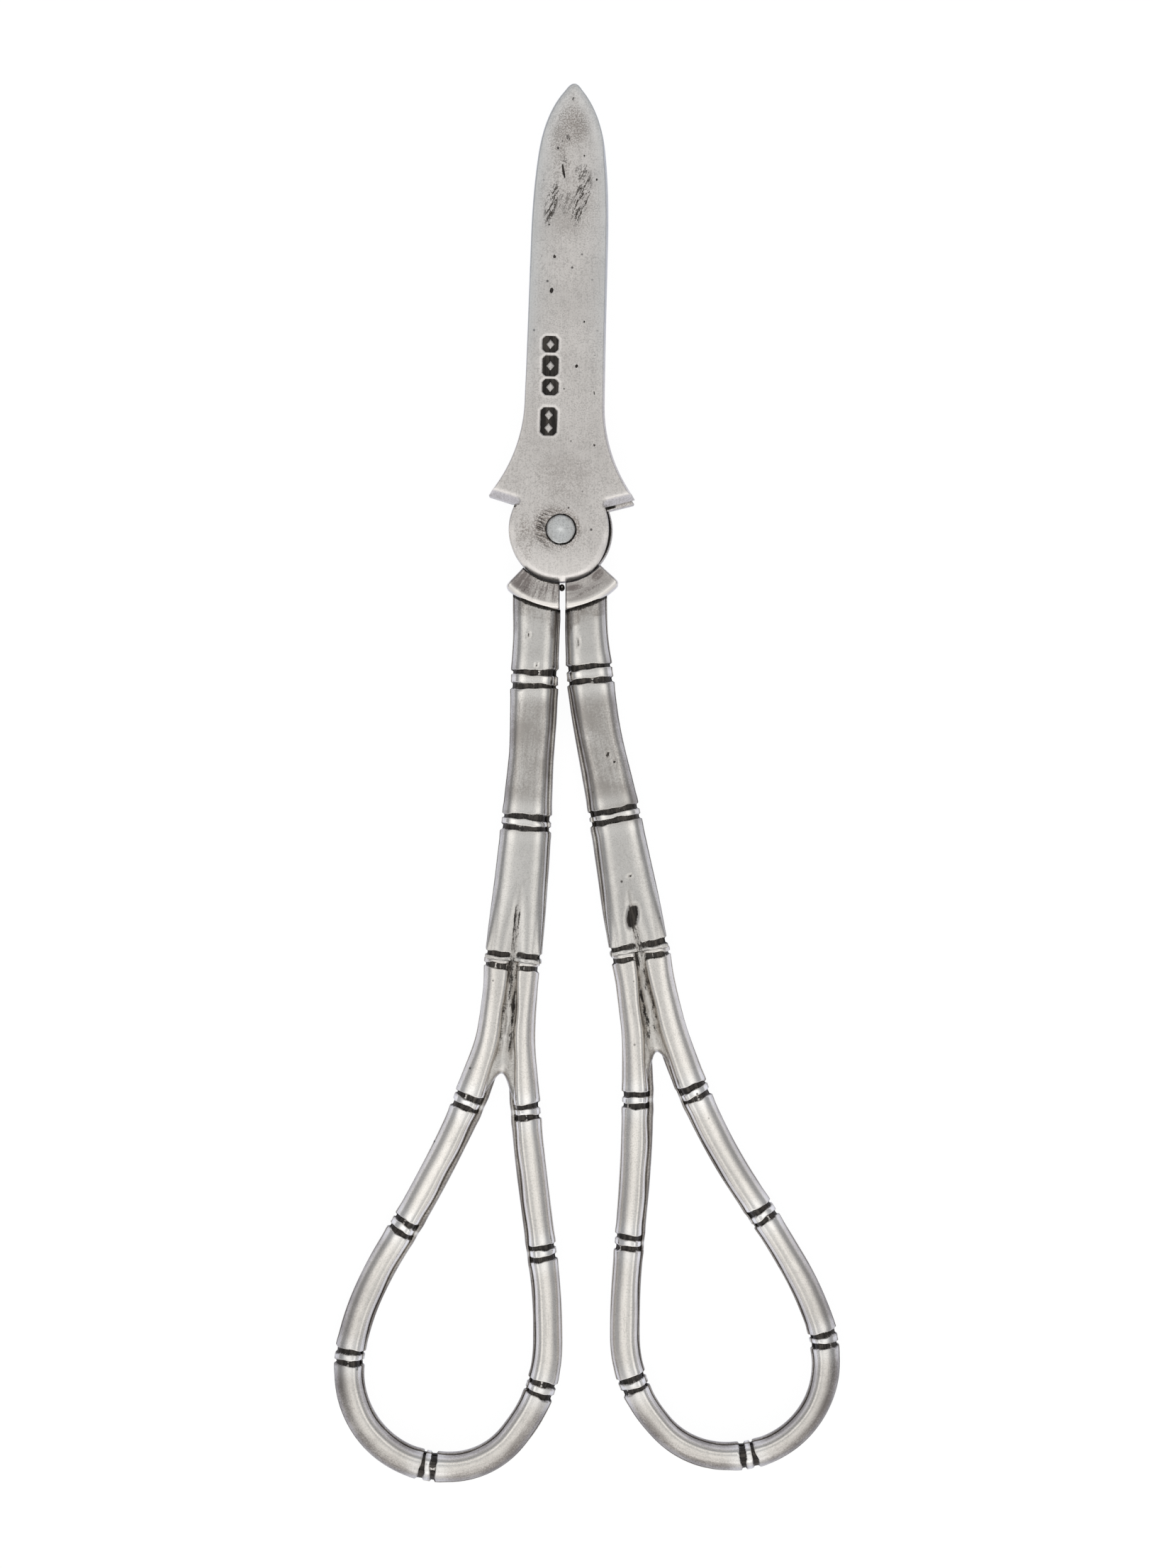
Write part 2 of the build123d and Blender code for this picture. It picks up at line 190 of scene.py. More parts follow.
def unit(value):
    """The value held between 0 and 1."""
    return np.clip(value, 0, 1)


def root(value):
    """The square root, and 0 for values below 0."""
    return np.sqrt(np.maximum(value, 0))


def most(*values):
    """The greatest of several arrays at each place."""
    return functools.reduce(np.maximum, values)


def struck(x, y, marks):
    """Small marks from 0 to 1: each is an ellipse of its half length and half width,
    leaning from the upright, full inside and soft at its rim."""
    total = np.zeros(np.broadcast(x, y).shape)
    for mark_x, mark_y, length, width, lean, strength in marks:
        turn = math.radians(lean)
        along = (x - mark_x) * math.sin(turn) + (y - mark_y) * math.cos(turn)
        across = (x - mark_x) * math.cos(turn) - (y - mark_y) * math.sin(turn)
        reach = (along / length) ** 2 + (across / width) ** 2
        total = np.maximum(total, strength * fade(reach, 0.35, 1.35))
    return total


def natural_curve(knots, values, at):
    """Natural cubic spline through the rows: its second derivatives solve one
    linear system, and each span is a cubic in its share."""
    knots, values = np.asarray(knots, float), np.asarray(values, float)
    gap = np.diff(knots)
    middle = np.concatenate([[1], 2 * (gap[:-1] + gap[1:]), [1]])
    matrix = np.diag(middle) + np.diag([*gap[:-1], 0], -1) + np.diag([0, *gap[1:]], 1)
    bend = np.linalg.solve(matrix, [0, *6 * np.diff(np.diff(values) / gap), 0])
    i = np.clip(np.searchsorted(knots, at) - 1, 0, len(gap) - 1)
    a = (knots[i + 1] - at) / gap[i]
    b = 1 - a
    curve = a * values[i] + b * values[i + 1]
    return curve + ((a**3 - a) * bend[i] + (b**3 - b) * bend[i + 1]) * gap[i] ** 2 / 6


def placed(name, data):
    """A new object for its data, in the scene."""
    thing = bpy.data.objects.new(name, data)
    bpy.context.scene.collection.objects.link(thing)
    return thing


def closed_skin(name, rings, flat_ends=True, **marks):
    """A closed piece: rings[i, j] is point j of ring i in millimetres, each ring is
    a loop, and a fan round its middle closes each end ring. Quads are turned over
    when the volume they enclose is negative. Marks are attributes of the same grid."""
    count, around = rings.shape[:2]
    points = np.vstack([rings.reshape(-1, 3), rings[0].mean(0), rings[-1].mean(0)])
    here = np.arange(count * around).reshape(count, around)
    beside = np.roll(here, -1, 1)
    quads = np.stack([here[:-1], beside[:-1], beside[1:], here[1:]], -1).reshape(-1, 4)
    first, last = (np.full(around, len(points) - n) for n in (2, 1))
    fans = np.vstack([np.stack([beside[0], here[0], first], -1), np.stack([here[-1], beside[-1], last], -1)])
    a, b, c, d = (points[quads[:, n]] for n in range(4))
    if (a * (np.cross(b, c) + np.cross(c, d))).sum() < 0:
        quads, fans = quads[:, ::-1], fans[:, ::-1]
    mesh = bpy.data.meshes.new(name)
    mesh.from_pydata(points * MM, [], quads.tolist() + fans.tolist())
    smooth = np.ones(len(mesh.polygons), bool)
    smooth[len(quads):] = not flat_ends
    mesh.polygons.foreach_set("use_smooth", smooth)
    for key, value in marks.items():
        flat = np.append(np.broadcast_to(value, (count, around)).ravel(), [0, 0])
        mesh.attributes.new(key, "FLOAT", "POINT").data.foreach_set("value", flat.astype(np.float32))
    return placed(name, mesh)


def seam_frame(seam):
    """Where a stem meets its loop: a point, the way down and the way across."""
    down = math.radians(seam["tilt"] - 90)
    way = np.array([math.cos(down), math.sin(down)])
    return np.array([seam["x"], -seam["drop"]]), way, np.array([-way[1], way[0]])


def cane_course(loop, seam):
    """The cane's centre line as arc length, heading and points: straight runs joined
    by arcs, whose heading is a ramp, evened over 3 mm and added up. It starts and
    ends the overrun above the seam."""
    origin, _, across = seam_frame(seam)
    side = loop["side"]
    table = np.array(loop["corners"])
    corners = origin + table[:, :2] * [side * loop["spread"], -loop["drop"]]
    ends = []
    for corner, hand in ((corners[0], 1), (corners[-1], -1)):
        at_seam = origin + hand * across * side * seam["width"] / 4
        ends.append(at_seam - (corner - at_seam) / np.linalg.norm(corner - at_seam) * overrun)
    start, end = ends
    steps = np.diff(np.vstack([start, corners, end]), axis=0)
    runs = np.linalg.norm(steps, axis=1)
    headings = np.unwrap(np.arctan2(steps[:, 1], steps[:, 0]))
    turns = abs(np.diff(headings))
    shares = np.concatenate([[0], table[:, 2]])
    cut = 0.96 * np.minimum((1 - shares[:-1]) * runs[:-1], shares[1:] * runs[1:])
    pieces = np.zeros(2 * len(cut) + 1)
    pieces[0::2] = runs
    pieces[0:-1:2] -= cut
    pieces[2::2] -= cut
    pieces[1::2] = cut / np.tan(turns / 2) * turns
    knots = np.concatenate([[0], np.cumsum(pieces)])
    fine = np.arange(0, knots[-1], course_step)
    heading = np.interp(fine, knots, np.repeat(headings, 2))
    window = np.hanning(61)
    heading = np.convolve(np.pad(heading, 30, mode="edge"), window / window.sum(), mode="valid")
    steps = np.stack([np.cos(heading[:-1]), np.sin(heading[:-1])], -1) * course_step
    line = start + np.vstack([[0, 0], np.cumsum(steps, axis=0)])
    return fine, heading, line + (end - line[-1]) * (fine / fine[-1])[:, None]


def place_on(course, place):
    """The points of a course at places along it."""
    fine, _, line = course
    return np.stack([np.interp(place, fine, line[:, n]) for n in (0, 1)], -1)


def rows_along(length, groove_places, coarse=0.40, fine=0.06, reach=0.60):
    """Places along a course as a column, closer together round each groove."""
    close = [np.arange(place - reach, place + reach, fine) for place in groove_places]
    rows = np.concatenate([np.arange(0, length, coarse), [length], *close])
    rows = np.unique(np.round(np.clip(rows, 0, length), 3))
    keep = np.diff(rows, prepend=-1) > fine * 0.6
    keep[-1] = True
    return rows[keep][:, None]


def section_columns():
    """One cane's section as columns: share of the crown, share of the ledge beside
    it, lift on the ledge, and part: 0 crown, 1 ledge and wall, 2 back."""
    quarter = math.pi / 2
    crown = np.sin(np.linspace(-quarter, quarter, 37))
    back = np.sin(np.linspace(quarter, -quarter, 21))[1:-1]
    ledge = [(0.03, -0.05), (0.10, 0.07), (0.30, 0.17), (0.60, 0.14), (0.85, 0.02),
             (0.97, -0.14), (1.0, -0.32), (1.0, -0.60)]
    rows = [(c, 0, 0, 0) for c in crown] + [(1, *pair, 1) for pair in ledge]
    rows += [(c, 0, 0, 2) for c in back] + [(-1, *pair, 1) for pair in reversed(ledge)]
    return np.array(rows).T


crown_share, ledge_share, ledge_lift, section_part = section_columns()
is_crown = section_part == 0
is_ledge = section_part == 1
is_back = section_part == 2
is_crease = is_ledge & (ledge_share < 0.05)


def section_points(right_half, left_half, right_ledge, left_ledge, rise, power, skew):
    """Across and up for every ring. The crown is (1 - |u|^power)^(1/2) high, where u
    runs from -1 to 1 and is 0 at the skewed ridge, then come a crease, a ledge with
    its wall, and a plain crown turned over below."""
    right = crown_share > 0
    half = np.where(right, right_half, left_half)
    ledge = np.where(right, right_ledge, left_ledge)
    across = crown_share * (half - ledge) + np.sign(crown_share) * ledge_share * ledge
    across = np.where(is_back, crown_share * half, across)
    u = (crown_share - skew) / np.where(crown_share > skew, 1 - skew, 1 + skew)
    crown = ledge_height + (half_depth + rise - ledge_height) * root(1 - abs(u) ** power)
    wall = ledge_height + ledge_lift * np.where(ledge_lift > 0, np.minimum(ledge / 0.3, 1), 1)
    back = back_edge - (half_depth + back_edge) * root(1 - abs(crown_share) ** 2.6)
    return across, np.where(is_crown, crown, np.where(is_back, back, wall)), ledge


def groove_marks(place, across, half, grooves, seed):
    """Each groove's depth and black filling from 0 to 1: a trough round the cane
    whose centre wanders and which widens to one side like the stroke of a file."""
    depth = np.zeros(np.broadcast(place, across).shape)
    filling = np.zeros_like(depth)
    for k, centre in enumerate(grooves):
        phase = seed + 2.1 * k
        wander = 0.05 * np.sin(across * 1.3 + phase) + 0.03 * np.sin(across * 3.7 + 2 * phase)
        taper = 0.34 * math.sin(1.7 * phase) * across / half + 0.12 * np.sin(across * 2.3 + 1.9 * phase)
        wide = groove_width / 2 * (1 + taper)
        away = abs(place - centre - wander)
        depth = np.maximum(depth, fade(away, wide * 0.55, wide * 1.20))
        worn_through = max(0.0, math.sin(1.3 * phase)) * hill(across, 0.45 * half * math.sin(2.9 * phase), 0.11)
        filling = np.maximum(filling, 1 - 0.5 * away / wide - 0.8 * worn_through)
    return depth, unit(filling)


def nearest(places, nodes):
    """Distance from each place to the nearest node."""
    return np.min(abs(places - np.array(nodes)), 1, keepdims=True)


def laid(centre, way, across, up):
    """Points so far across a course and so far up from its middle plane."""
    return np.dstack([centre + across[..., None] * way, middle_z + up])


def drawn_to_seam(points, centre, way, ease):
    """The points slid along the seam's way onto its plane, by a share that eases off."""
    shift = (points[..., :2] - centre) @ way
    points[..., :2] -= (ease * shift)[..., None] * way
    return points


def make_cane(name, loop, seam, seed):
    """A finger loop: the cane's section carried along its course from the seam
    round to the seam again, with its grooves cut in."""
    course = cane_course(loop, seam)
    fine, heading, _ = course
    total = fine[-1]
    nodes = total * np.array(loop["nodes"])
    at_seam = overrun + seam_groove_spacing / 2
    grooves = [n + d * loop_groove_spacing / 2 for n in nodes for d in (-1, 1)] + [at_seam, total - at_seam]
    places = rows_along(total - 2 * overrun, [g - overrun for g in grooves]) + overrun
    turned = np.interp(places, fine, heading)
    centre = place_on(course, places)
    inward = -loop["side"] * np.stack([-np.sin(turned), np.cos(turned)], -1)
    share = places / total
    near = nearest(places, nodes)
    away = np.minimum(places, total - places) - overrun
    half = natural_curve(*np.array(loop["widths"]).T, share) / 2
    half = half + 0.03 * ripple(places, 0, 2.1, seed) + 0.05 * hill(near, 1.3, 0.7)
    seam_trim, outer_trim, inner_trim = loop["trim"]
    trim = np.where(share < 0.5, outer_trim, inner_trim)
    trim = seam_trim + (trim - seam_trim) * ramp(away, 0, 4)
    trim = trim * fade(away, 9.0, 17.0)
    inner_ledge = np.interp(share, *np.array(loop["ledges"]).T) * (0.92 + 0.10 * np.sin(places * 0.9))
    outer_ledge = np.where(share > 0.5, 0.13, 0.09) + 0.04 * np.sin(places * 0.5 + seed)
    rise = 0.10 * hill(near, 0, 2.6) * ramp(away, 1.0, 4.0)
    power = 2.15 + 1.5 * np.exp(-away / 7.0)
    across, up, ledge = section_points(half, half - trim, inner_ledge, outer_ledge, rise, power, 0.34)
    inner_ledge = is_ledge & (crown_share > 0)
    spared = 1 - ramp(ledge, 0.22, 0.36) * inner_ledge
    depth, filling = (value * spared for value in groove_marks(places, across + 0.4 * up, half, grooves, seed))
    worn = 0.010 * ripple(places, across * 2.0, 0.9, seed + 1) + 0.012 * ripple(places, across * 3.0, 3.1, seed + 6)
    scale = 1 - depth * groove_depth / np.maximum(np.hypot(across, up), 1.2) + worn * (1 - depth)
    points = laid(centre, inward, across * scale, up * scale)
    points = drawn_to_seam(points, centre, seam_frame(seam)[1], np.exp(-away / 0.5) * (away < 2.5))
    outward = np.clip(-across / half, -1, 1)
    fork = unit(1 - away / loop["crotch"])
    bend = ramp(share, 0.26, 0.44) * fade(share, 0.58, 0.66)
    patch = patches(places, across * 0.6, 2.6, seed + 8)
    # Darker on the inner side near the fork
    film = 0.30 * fork * ramp(-outward, 0.25, 0.95)
    # The outer half is darker: brown tarnish, strongest on the bend, and partly painted shade
    film += ramp(outward, -0.30, 0.75) * (0.08 + 0.85 * bend + 0.17 * patch)
    # Tarnish on the bend and in patches; the inner ledge is darkened as painted shade
    film += 0.16 * bend + 0.12 * patch * (share < 0.5) + 0.9 * inner_ledge
    # Both steep sides of the crown are darkened: painted shade
    film += (0.85 * ramp(-outward, 0.66, 0.86) + 0.55 * ramp(outward, 0.80, 0.97)) * is_crown
    film += 0.16 * hill(near, 0.9, 0.5)
    crease = is_crease * np.where(crown_share > 0, 0.82, 0.30)
    crease = crease * unit(0.72 + 0.5 * ripple(places, across, 1.7, seed + 3))
    shadow = 0.36 * ramp(ledge, 0.25, 0.45) * inner_ledge
    tarnish = 0.38 * bend * ramp(outward, 0.35, 1.0) * (0.5 + patch) * is_crown
    rub = 0.85 * hill(near, 0, 0.36) * (1 - depth)
    # Painted highlight: the crown is lighter a little way from each node
    rub = rub + 0.5 * ramp(near, 0.9, 1.2) * hill(near, 1.2, 1.3) * is_crown
    return closed_skin(
        name, points, cut=most(filling, crease, shadow, tarnish), film=unit(film), rub=unit(rub),
        along=places, across=across)


def make_fork_solder(name, loop, seam, seed):
    """The solder in a loop's fork: rings side by side from one cane's middle to the
    other's, each running down the top from the seam to the crotch and back up the
    underside. The top is a shallow trough with a rough ridge in it, and its end
    rounds over as a quarter ellipse."""
    solder_share, round_from = 0.42, 0.88
    course = cane_course(loop, seam)
    rows = np.sin(np.linspace(0, math.pi / 2, 110))[:, None]
    q = np.linspace(-1, 1, 49)[None, :]
    down = rows * (loop["crotch"] + 0.32 + 1.1 * (abs(q) / 0.36) ** 2 - 2.5 * unit(abs(q) - 0.5))
    from_start = place_on(course, overrun + down)
    gap = place_on(course, course[0][-1] - overrun - down) - from_start
    flat = from_start + gap * (0.5 + solder_share * q)[..., None]
    across = q * np.linalg.norm(gap, axis=-1) * solder_share
    calm = 1 - loop["smooth_crotch"] * ramp(rows, 0.70, 0.88)
    pocked = 0.07 * ripple(across * 3.0, down * 0.5, 0.33, seed) + 0.05 * ripple(across * 2.0, down, 0.16, seed + 5)
    middle = 0.10 * np.sin(down * 0.9 + seed)
    ridge = hill(across, middle, 0.26) * ramp(rows, 0.10, 0.45)
    furrow = hill(abs(across - middle), 0.55 + 0.35 * rows, 0.26)
    height = 1.46 - 0.42 * ramp(rows, 0.0, 0.95) + 0.14 * q**2
    height = height + (pocked + 0.12 * ridge - 0.10 * furrow) * calm
    height = height * root(1 - (unit(rows - round_from) / 0.12) ** 2)
    top, low = (np.dstack([flat, middle_z + way * height]) for way in (1, -1))
    streaks = 0.5 + 0.3 * ripple(across * 4.0, down * 0.45, 0.35, seed + 9)
    streaks = streaks + 0.3 * ripple(across * 3.0, down * 0.6, 0.16, seed + 13)
    spread = fade(abs(across), 0.55, 1.0)
    dark = unit(0.30 + 0.20 * spread + 0.08 * furrow + 0.55 * (streaks - 0.5) - 0.12 * ridge) * calm
    film = unit(0.75 + 0.3 * furrow - 0.4 * ridge) * (0.3 + 0.7 * calm)
    marks = {"cut": dark, "film": film, "rub": 0.5 * ridge, "along": down, "across": across}
    marks = {key: np.concatenate([value, value[::-1]]).T for key, value in marks.items()}
    return closed_skin(name, np.concatenate([top, low[::-1]]).transpose(1, 0, 2), **marks)


def make_stem(name, stem, seam, seed):
    """A stem: rings square to its centre line, one broad crown that parts into two
    crowns with a leaf of solder between them as it nears the seam with its loop.
    Its head follows the collar's rim."""
    origin, way, _ = seam_frame(seam)
    fine_y = np.arange(stem_head_y, origin[1] - 0.001, -course_step)
    left, right = (natural_curve(stem_rows[::-1], stem[key][::-1], fine_y) for key in ("left", "right"))
    middle = (left + right) / 2
    middle = middle + ramp(-fine_y, seam["drop"] - settling, seam["drop"]) * (origin[0] - middle[-1])
    lean = np.gradient(middle, fine_y)
    half_fine = (right - left) / 2 / np.sqrt(1 + lean**2)
    place_fine = np.concatenate([[0], np.cumsum(np.hypot(np.diff(middle), np.diff(fine_y)))])
    length = place_fine[-1]
    node_rows, spacings = np.array(stem["nodes"]).T
    nodes = np.interp(-node_rows, -fine_y, place_fine)
    grooves = [n + d * spacing / 2 for n, spacing in zip(nodes, spacings) for d in (-1, 1)]
    grooves.append(length - seam_groove_spacing / 2)
    places = rows_along(length, grooves, coarse=0.26)
    y, cx, half, slope = (np.interp(places, place_fine, row) for row in (fine_y, middle, half_fine, lean))
    centre = np.stack([cx, y], -1)
    right_way = np.stack([1 + 0 * slope, -slope], -1) / np.sqrt(1 + slope**2)[..., None]
    near = nearest(places, nodes)
    half = half + 0.05 * hill(near, 1.4, 0.7) + 0.02 * ripple(places, 0, 2.3, seed)
    right_ledge, left_ledge = (np.interp(-y, *np.array(stem[key]).T) for key in ("right_ledge", "left_ledge"))
    between = nodes.mean()
    rise = 0.11 * hill(near, 0, 2.8) - 0.05 * hill(places, between, 5.0)
    power = 3.6 + 1.4 * hill(places, between, 6.0)
    across, up, ledge = section_points(half, half, right_ledge, left_ledge, rise, power, 0.0)
    to_seam = length - places
    leaf = unit(1 - to_seam / stem["valley"])
    lobe_half = (half - ledge) / 2
    lobe = unit(abs(abs(across) - lobe_half) / lobe_half)
    lobes = ledge_height + (half_depth - ledge_height) * root(1 - lobe**2.3)
    twin = np.maximum(lobes, 1.44 + 0.22 * unit(abs(across) / 0.75) ** 2)
    up = up + (np.where(is_back, -twin, twin) - up) * leaf**1.3 * ~is_ledge
    leaf_half = 0.09 + 0.44 * leaf**0.75
    present = ramp(leaf, 0.0, 0.04) * ~is_ledge
    floor = present * ramp(leaf_half - abs(across), -0.05, 0.10)
    left_line = hill(across, -leaf_half, 0.09) * present
    right_line = hill(across, leaf_half, 0.08) * present * (0.45 + 0.4 * leaf)
    pocked = ripple(across * 4.0, places * 0.5, 0.35, seed + 2)
    open_seam = 1 - fade(abs(across), 0.30, 0.62) * (to_seam < 3)
    depth, filling = (value * open_seam for value in groove_marks(places, across + 0.3 * up, half, grooves, seed))
    flat_x, flat_y = np.moveaxis(centre + across[..., None] * right_way, -1, 0)
    pits = struck(flat_x, flat_y, stem["pits"]) * is_crown
    sunk = floor * (0.05 + 0.04 * pocked) + 0.10 * (left_line + right_line) + 0.26 * pits
    up = up + np.sign(up) * (0.014 * ripple(places, across * 1.4, 1.6, seed + 1) * (1 - depth) - sunk)
    scale = 1 - depth * groove_depth / np.maximum(np.hypot(across * 0.5, up), 1.3)
    points = laid(centre, right_way, across * (1 - depth * groove_depth / half), up * scale)
    rim = -root((collar_radius - 0.06) ** 2 - points[..., 0] ** 2)
    points[..., 1] += (rim - stem_head_y) * fade(places, 0.0, 5.0)
    points = drawn_to_seam(points, centre, way, np.exp(-to_seam / 0.6) * (to_seam < 3))
    crease = 0.82 * is_crease * unit(0.70 + 0.5 * ripple(places, across, 1.9, seed + 3))
    lines = unit(0.80 + 0.45 * pocked)
    valley = np.maximum(left_line * 0.74, right_line * 0.9) * lines + floor * unit(0.34 + 0.22 * leaf * lines)
    below_collar = np.hypot(points[..., 0], points[..., 1]) - collar_radius
    patch = patches(points[..., 0], points[..., 1], 1.8, seed + 5)
    smudge = struck(flat_x, flat_y, stem["stains"])
    # Film and shade: tarnish below the collar, in the stains and the pits; the ledges are darkened as painted shade
    film = fade(below_collar, 0.1, 2.6) + 0.45 * is_ledge + 1.3 * smudge + 1.2 * pits
    # Darker towards both sides of the crown as painted shade; tarnish in patches, on the valley floor and beside
    # the nodes
    film += 0.35 * abs(across / half) ** 3 + 0.20 * patch + 0.5 * floor + 0.38 * hill(near, 1.0, 0.5)
    # Darker over the middle section between the nodes
    film += 0.70 * ramp(-flat_y, 19.5, 22.5) * fade(-flat_y, 32.0, 36.0)
    under_rim = 0.95 * fade(below_collar, 0.05, 0.25) + 0.62 * hill(below_collar, 0.0, 1.5) * patch
    rub = 0.8 * hill(near, 0, 0.42) * (1 - depth)
    # Painted highlight: the crown is lighter a little way from each node
    rub = rub + 0.45 * hill(near, 1.7, 1.0) * is_crown * (abs(across) < 0.7 * half)
    return closed_skin(
        name, points, film=unit(film), rub=unit(rub), along=places, across=across,
        cut=most(filling, crease, valley, pits * 0.95, under_rim, 0.52 * smudge * (0.55 + 0.45 * patch)))


def make_gap_dark_lump():
    """A dark lump at the top of the gap between the collars: a rough
    egg, its rings lying level from the bottom to the top."""
    level = np.linspace(-0.98, 0.98, 24)[:, None]
    turn = np.linspace(0, 2 * math.pi, 40, endpoint=False)[None, :]
    lump = np.sqrt(1 - level**2) * (1 + 0.16 * ripple(np.cos(turn) + level, np.sin(turn), 0.35, 1.2))
    x = 0.15 + 0.36 * lump * np.cos(turn)
    y = -7.16 + 0.46 * lump * np.sin(turn)
    rings = np.dstack([x, y, middle_z + 0.2 + 1.2 * level + 0 * turn])
    return closed_skin("collar_gap_dark_lump", rings, cut=0.62 + 0.25 * ripple(x, y, 0.2, 2.0), film=1.0)


def flare_half(v, corner):
    """Half width of a blade at v along its axis: a hollow arc from the shoulder to
    the root, straight sides, and the point's measured taper with a round nose."""
    (root_v, root_half), (nose_v, nose_half) = blade_halves[0], blade_halves[-1]
    rise, run = root_v - corner, shoulder_half_span - root_half
    radius = (run**2 + rise**2) / (2 * run)
    flare = root_half + radius - root(radius**2 - (root_v - np.minimum(v, root_v)) ** 2)
    body = natural_curve(*np.array(blade_halves).T, np.minimum(v, nose_v))
    nose = root((blade_reach - v) / (blade_reach - nose_v)) * nose_half
    return np.where(v < root_v, flare, np.where(v > nose_v, nose, body))


def half_outline(v, corner, eye):
    """Half width at v of the eye and shoulders together: the eye below, then the
    underside's line out to the rounded corner, then the flare."""
    under = shoulder_half_span * (1 - (corner - v) / shoulder_fall)
    shoulder = np.where(v < corner, under, flare_half(np.maximum(v, corner), corner))
    blunt = shoulder_half_span - 0.34 * abs((v - corner - 0.15) / 0.6) ** 2
    shoulder = np.minimum(shoulder, np.where(abs(v - corner) < 0.9, blunt, 99.0))
    return most(eye, shoulder, 0)


def blade_rows():
    """Places along a blade's axis as a column, from the eye's foot to the tip, closer
    together where the outline turns fast and where the surface has small marks."""
    foot = -eye_radius * np.cos(np.linspace(0, math.pi / 2, 46))
    tip = blade_reach - 7.8 * (1 - np.sin(np.linspace(0, math.pi / 2, 74)))
    ends = [0, 2.2, 4.9, 11.2, 24.6, 37.5, 48.0]
    spans = [np.arange(*span) for span in zip(ends, ends[1:], [0.10, 0.055, 0.15, 0.085, 0.16, 0.11])]
    rows = np.unique(np.round(np.concatenate([foot, *spans, tip]), 3))
    return rows[np.diff(rows, prepend=-9) > 0.02][:, None]


def blade_points(x, v, z):
    """Points from a blade's own axes, turned by the blade's lean."""
    x, v, z = np.broadcast_arrays(x, v, z)
    c, s = math.cos(blade_lean), math.sin(blade_lean)
    return np.stack([x * c + v * s, v * c - x * s, z], -1)


def back_taper(v):
    """How far a blade's face draws in towards its tip: a straight line."""
    return unit((v - taper_start) / (blade_reach - taper_start)) * blade_tip_taper


def steepness(edge, v):
    """An outline's length for each length of the axis."""
    return np.sqrt(1 + np.gradient(edge[:, 0], v[:, 0])[:, None] ** 2)


def round_ring(parts, *values):
    """One mark for every ring: each part of the ring has an array or a number."""
    return np.concatenate([np.broadcast_to(value, part.shape[:2]) for part, value in zip(parts, values)], 1)


# Blind punches on the front blade: middle across, middle along, half width, half
# length and how many plain lozenges stand in the floor
punches = [
    (-1.98, 23.05, 1.02, 1.04, 1), (-1.90, 20.35, 1.02, 1.33, 1),
    (-1.84, 17.70, 1.03, 1.04, 1), (-1.92, 13.40, 1.05, 1.78, 2),
]
# Wear on the front blade: middle across, middle along, half length, half width, lean
# in degrees and strength
blade_pits = [
    (-1.00, 44.7, 1.10, 0.19, -12, 0.85), (-0.85, 46.2, 0.85, 0.45, 10, 0.50), (-0.53, 49.0, 0.55, 0.30, -15, 0.56),
    (-1.22, 48.5, 0.20, 0.16, 0, 0.75), (-1.78, 47.6, 0.22, 0.17, 0, 0.85), (1.53, 46.75, 0.18, 0.14, 0, 0.80),
    (3.17, 43.8, 0.20, 0.17, 0, 0.85), (-0.03, 53.8, 0.40, 0.20, 20, 0.60), (-2.6, 38.0, 0.18, 0.16, 0, 0.75),
    (-1.80, 34.0, 0.26, 0.21, 0, 0.90), (-2.05, 29.75, 0.42, 0.26, 10, 0.90), (2.15, 26.0, 0.19, 0.15, 0, 0.85),
    (1.36, 20.4, 0.28, 0.21, 20, 0.90), (-0.12, 17.5, 0.15, 0.14, 0, 0.80), (3.64, 17.15, 0.36, 0.12, -8, 0.68),
    (3.61, 21.8, 0.16, 0.12, 0, 0.62), (-3.45, 34.0, 0.26, 0.12, 0, 0.58), (-4.45, 20.2, 0.16, 0.12, 0, 0.60),
    (3.87, 10.6, 0.20, 0.17, 0, 0.85), (0.93, 11.0, 0.16, 0.14, 0, 0.80), (0.91, 2.7, 0.16, 0.13, 0, 0.80),
    (-5.5, -2.5, 0.16, 0.13, 0, 0.75), (3.86, -2.6, 0.15, 0.13, 0, 0.75),
]
blade_scores = [
    (-2.4, 40.7, 2.8, 0.75, 11, 1.0), (1.35, 41.4, 3.6, 0.95, 13, 1.0), (1.3, 44.7, 1.1, 0.9, 20, 0.8),
    (-0.6, 40.8, 1.7, 1.1, 0, 0.45),
]
blade_stains = [
    (-0.3, 50.3, 2.6, 2.5, 0, 0.62), (-1.8, 48.6, 1.6, 1.5, 0, 0.55), (-1.2, 45.6, 2.2, 1.2, 0, 0.45),
    (0.0, 41.0, 4.5, 3.6, 0, 0.30), (-4.75, 0.3, 1.5, 0.13, -6, 0.8), (-4.35, 0.0, 1.6, 0.11, -8, 0.8),
    (-4.0, -0.3, 1.2, 0.10, -8, 0.7), (-4.5, -1.5, 3.0, 1.2, 0, 0.38), (0.2, 6.5, 3.0, 3.5, 0, 0.22),
]


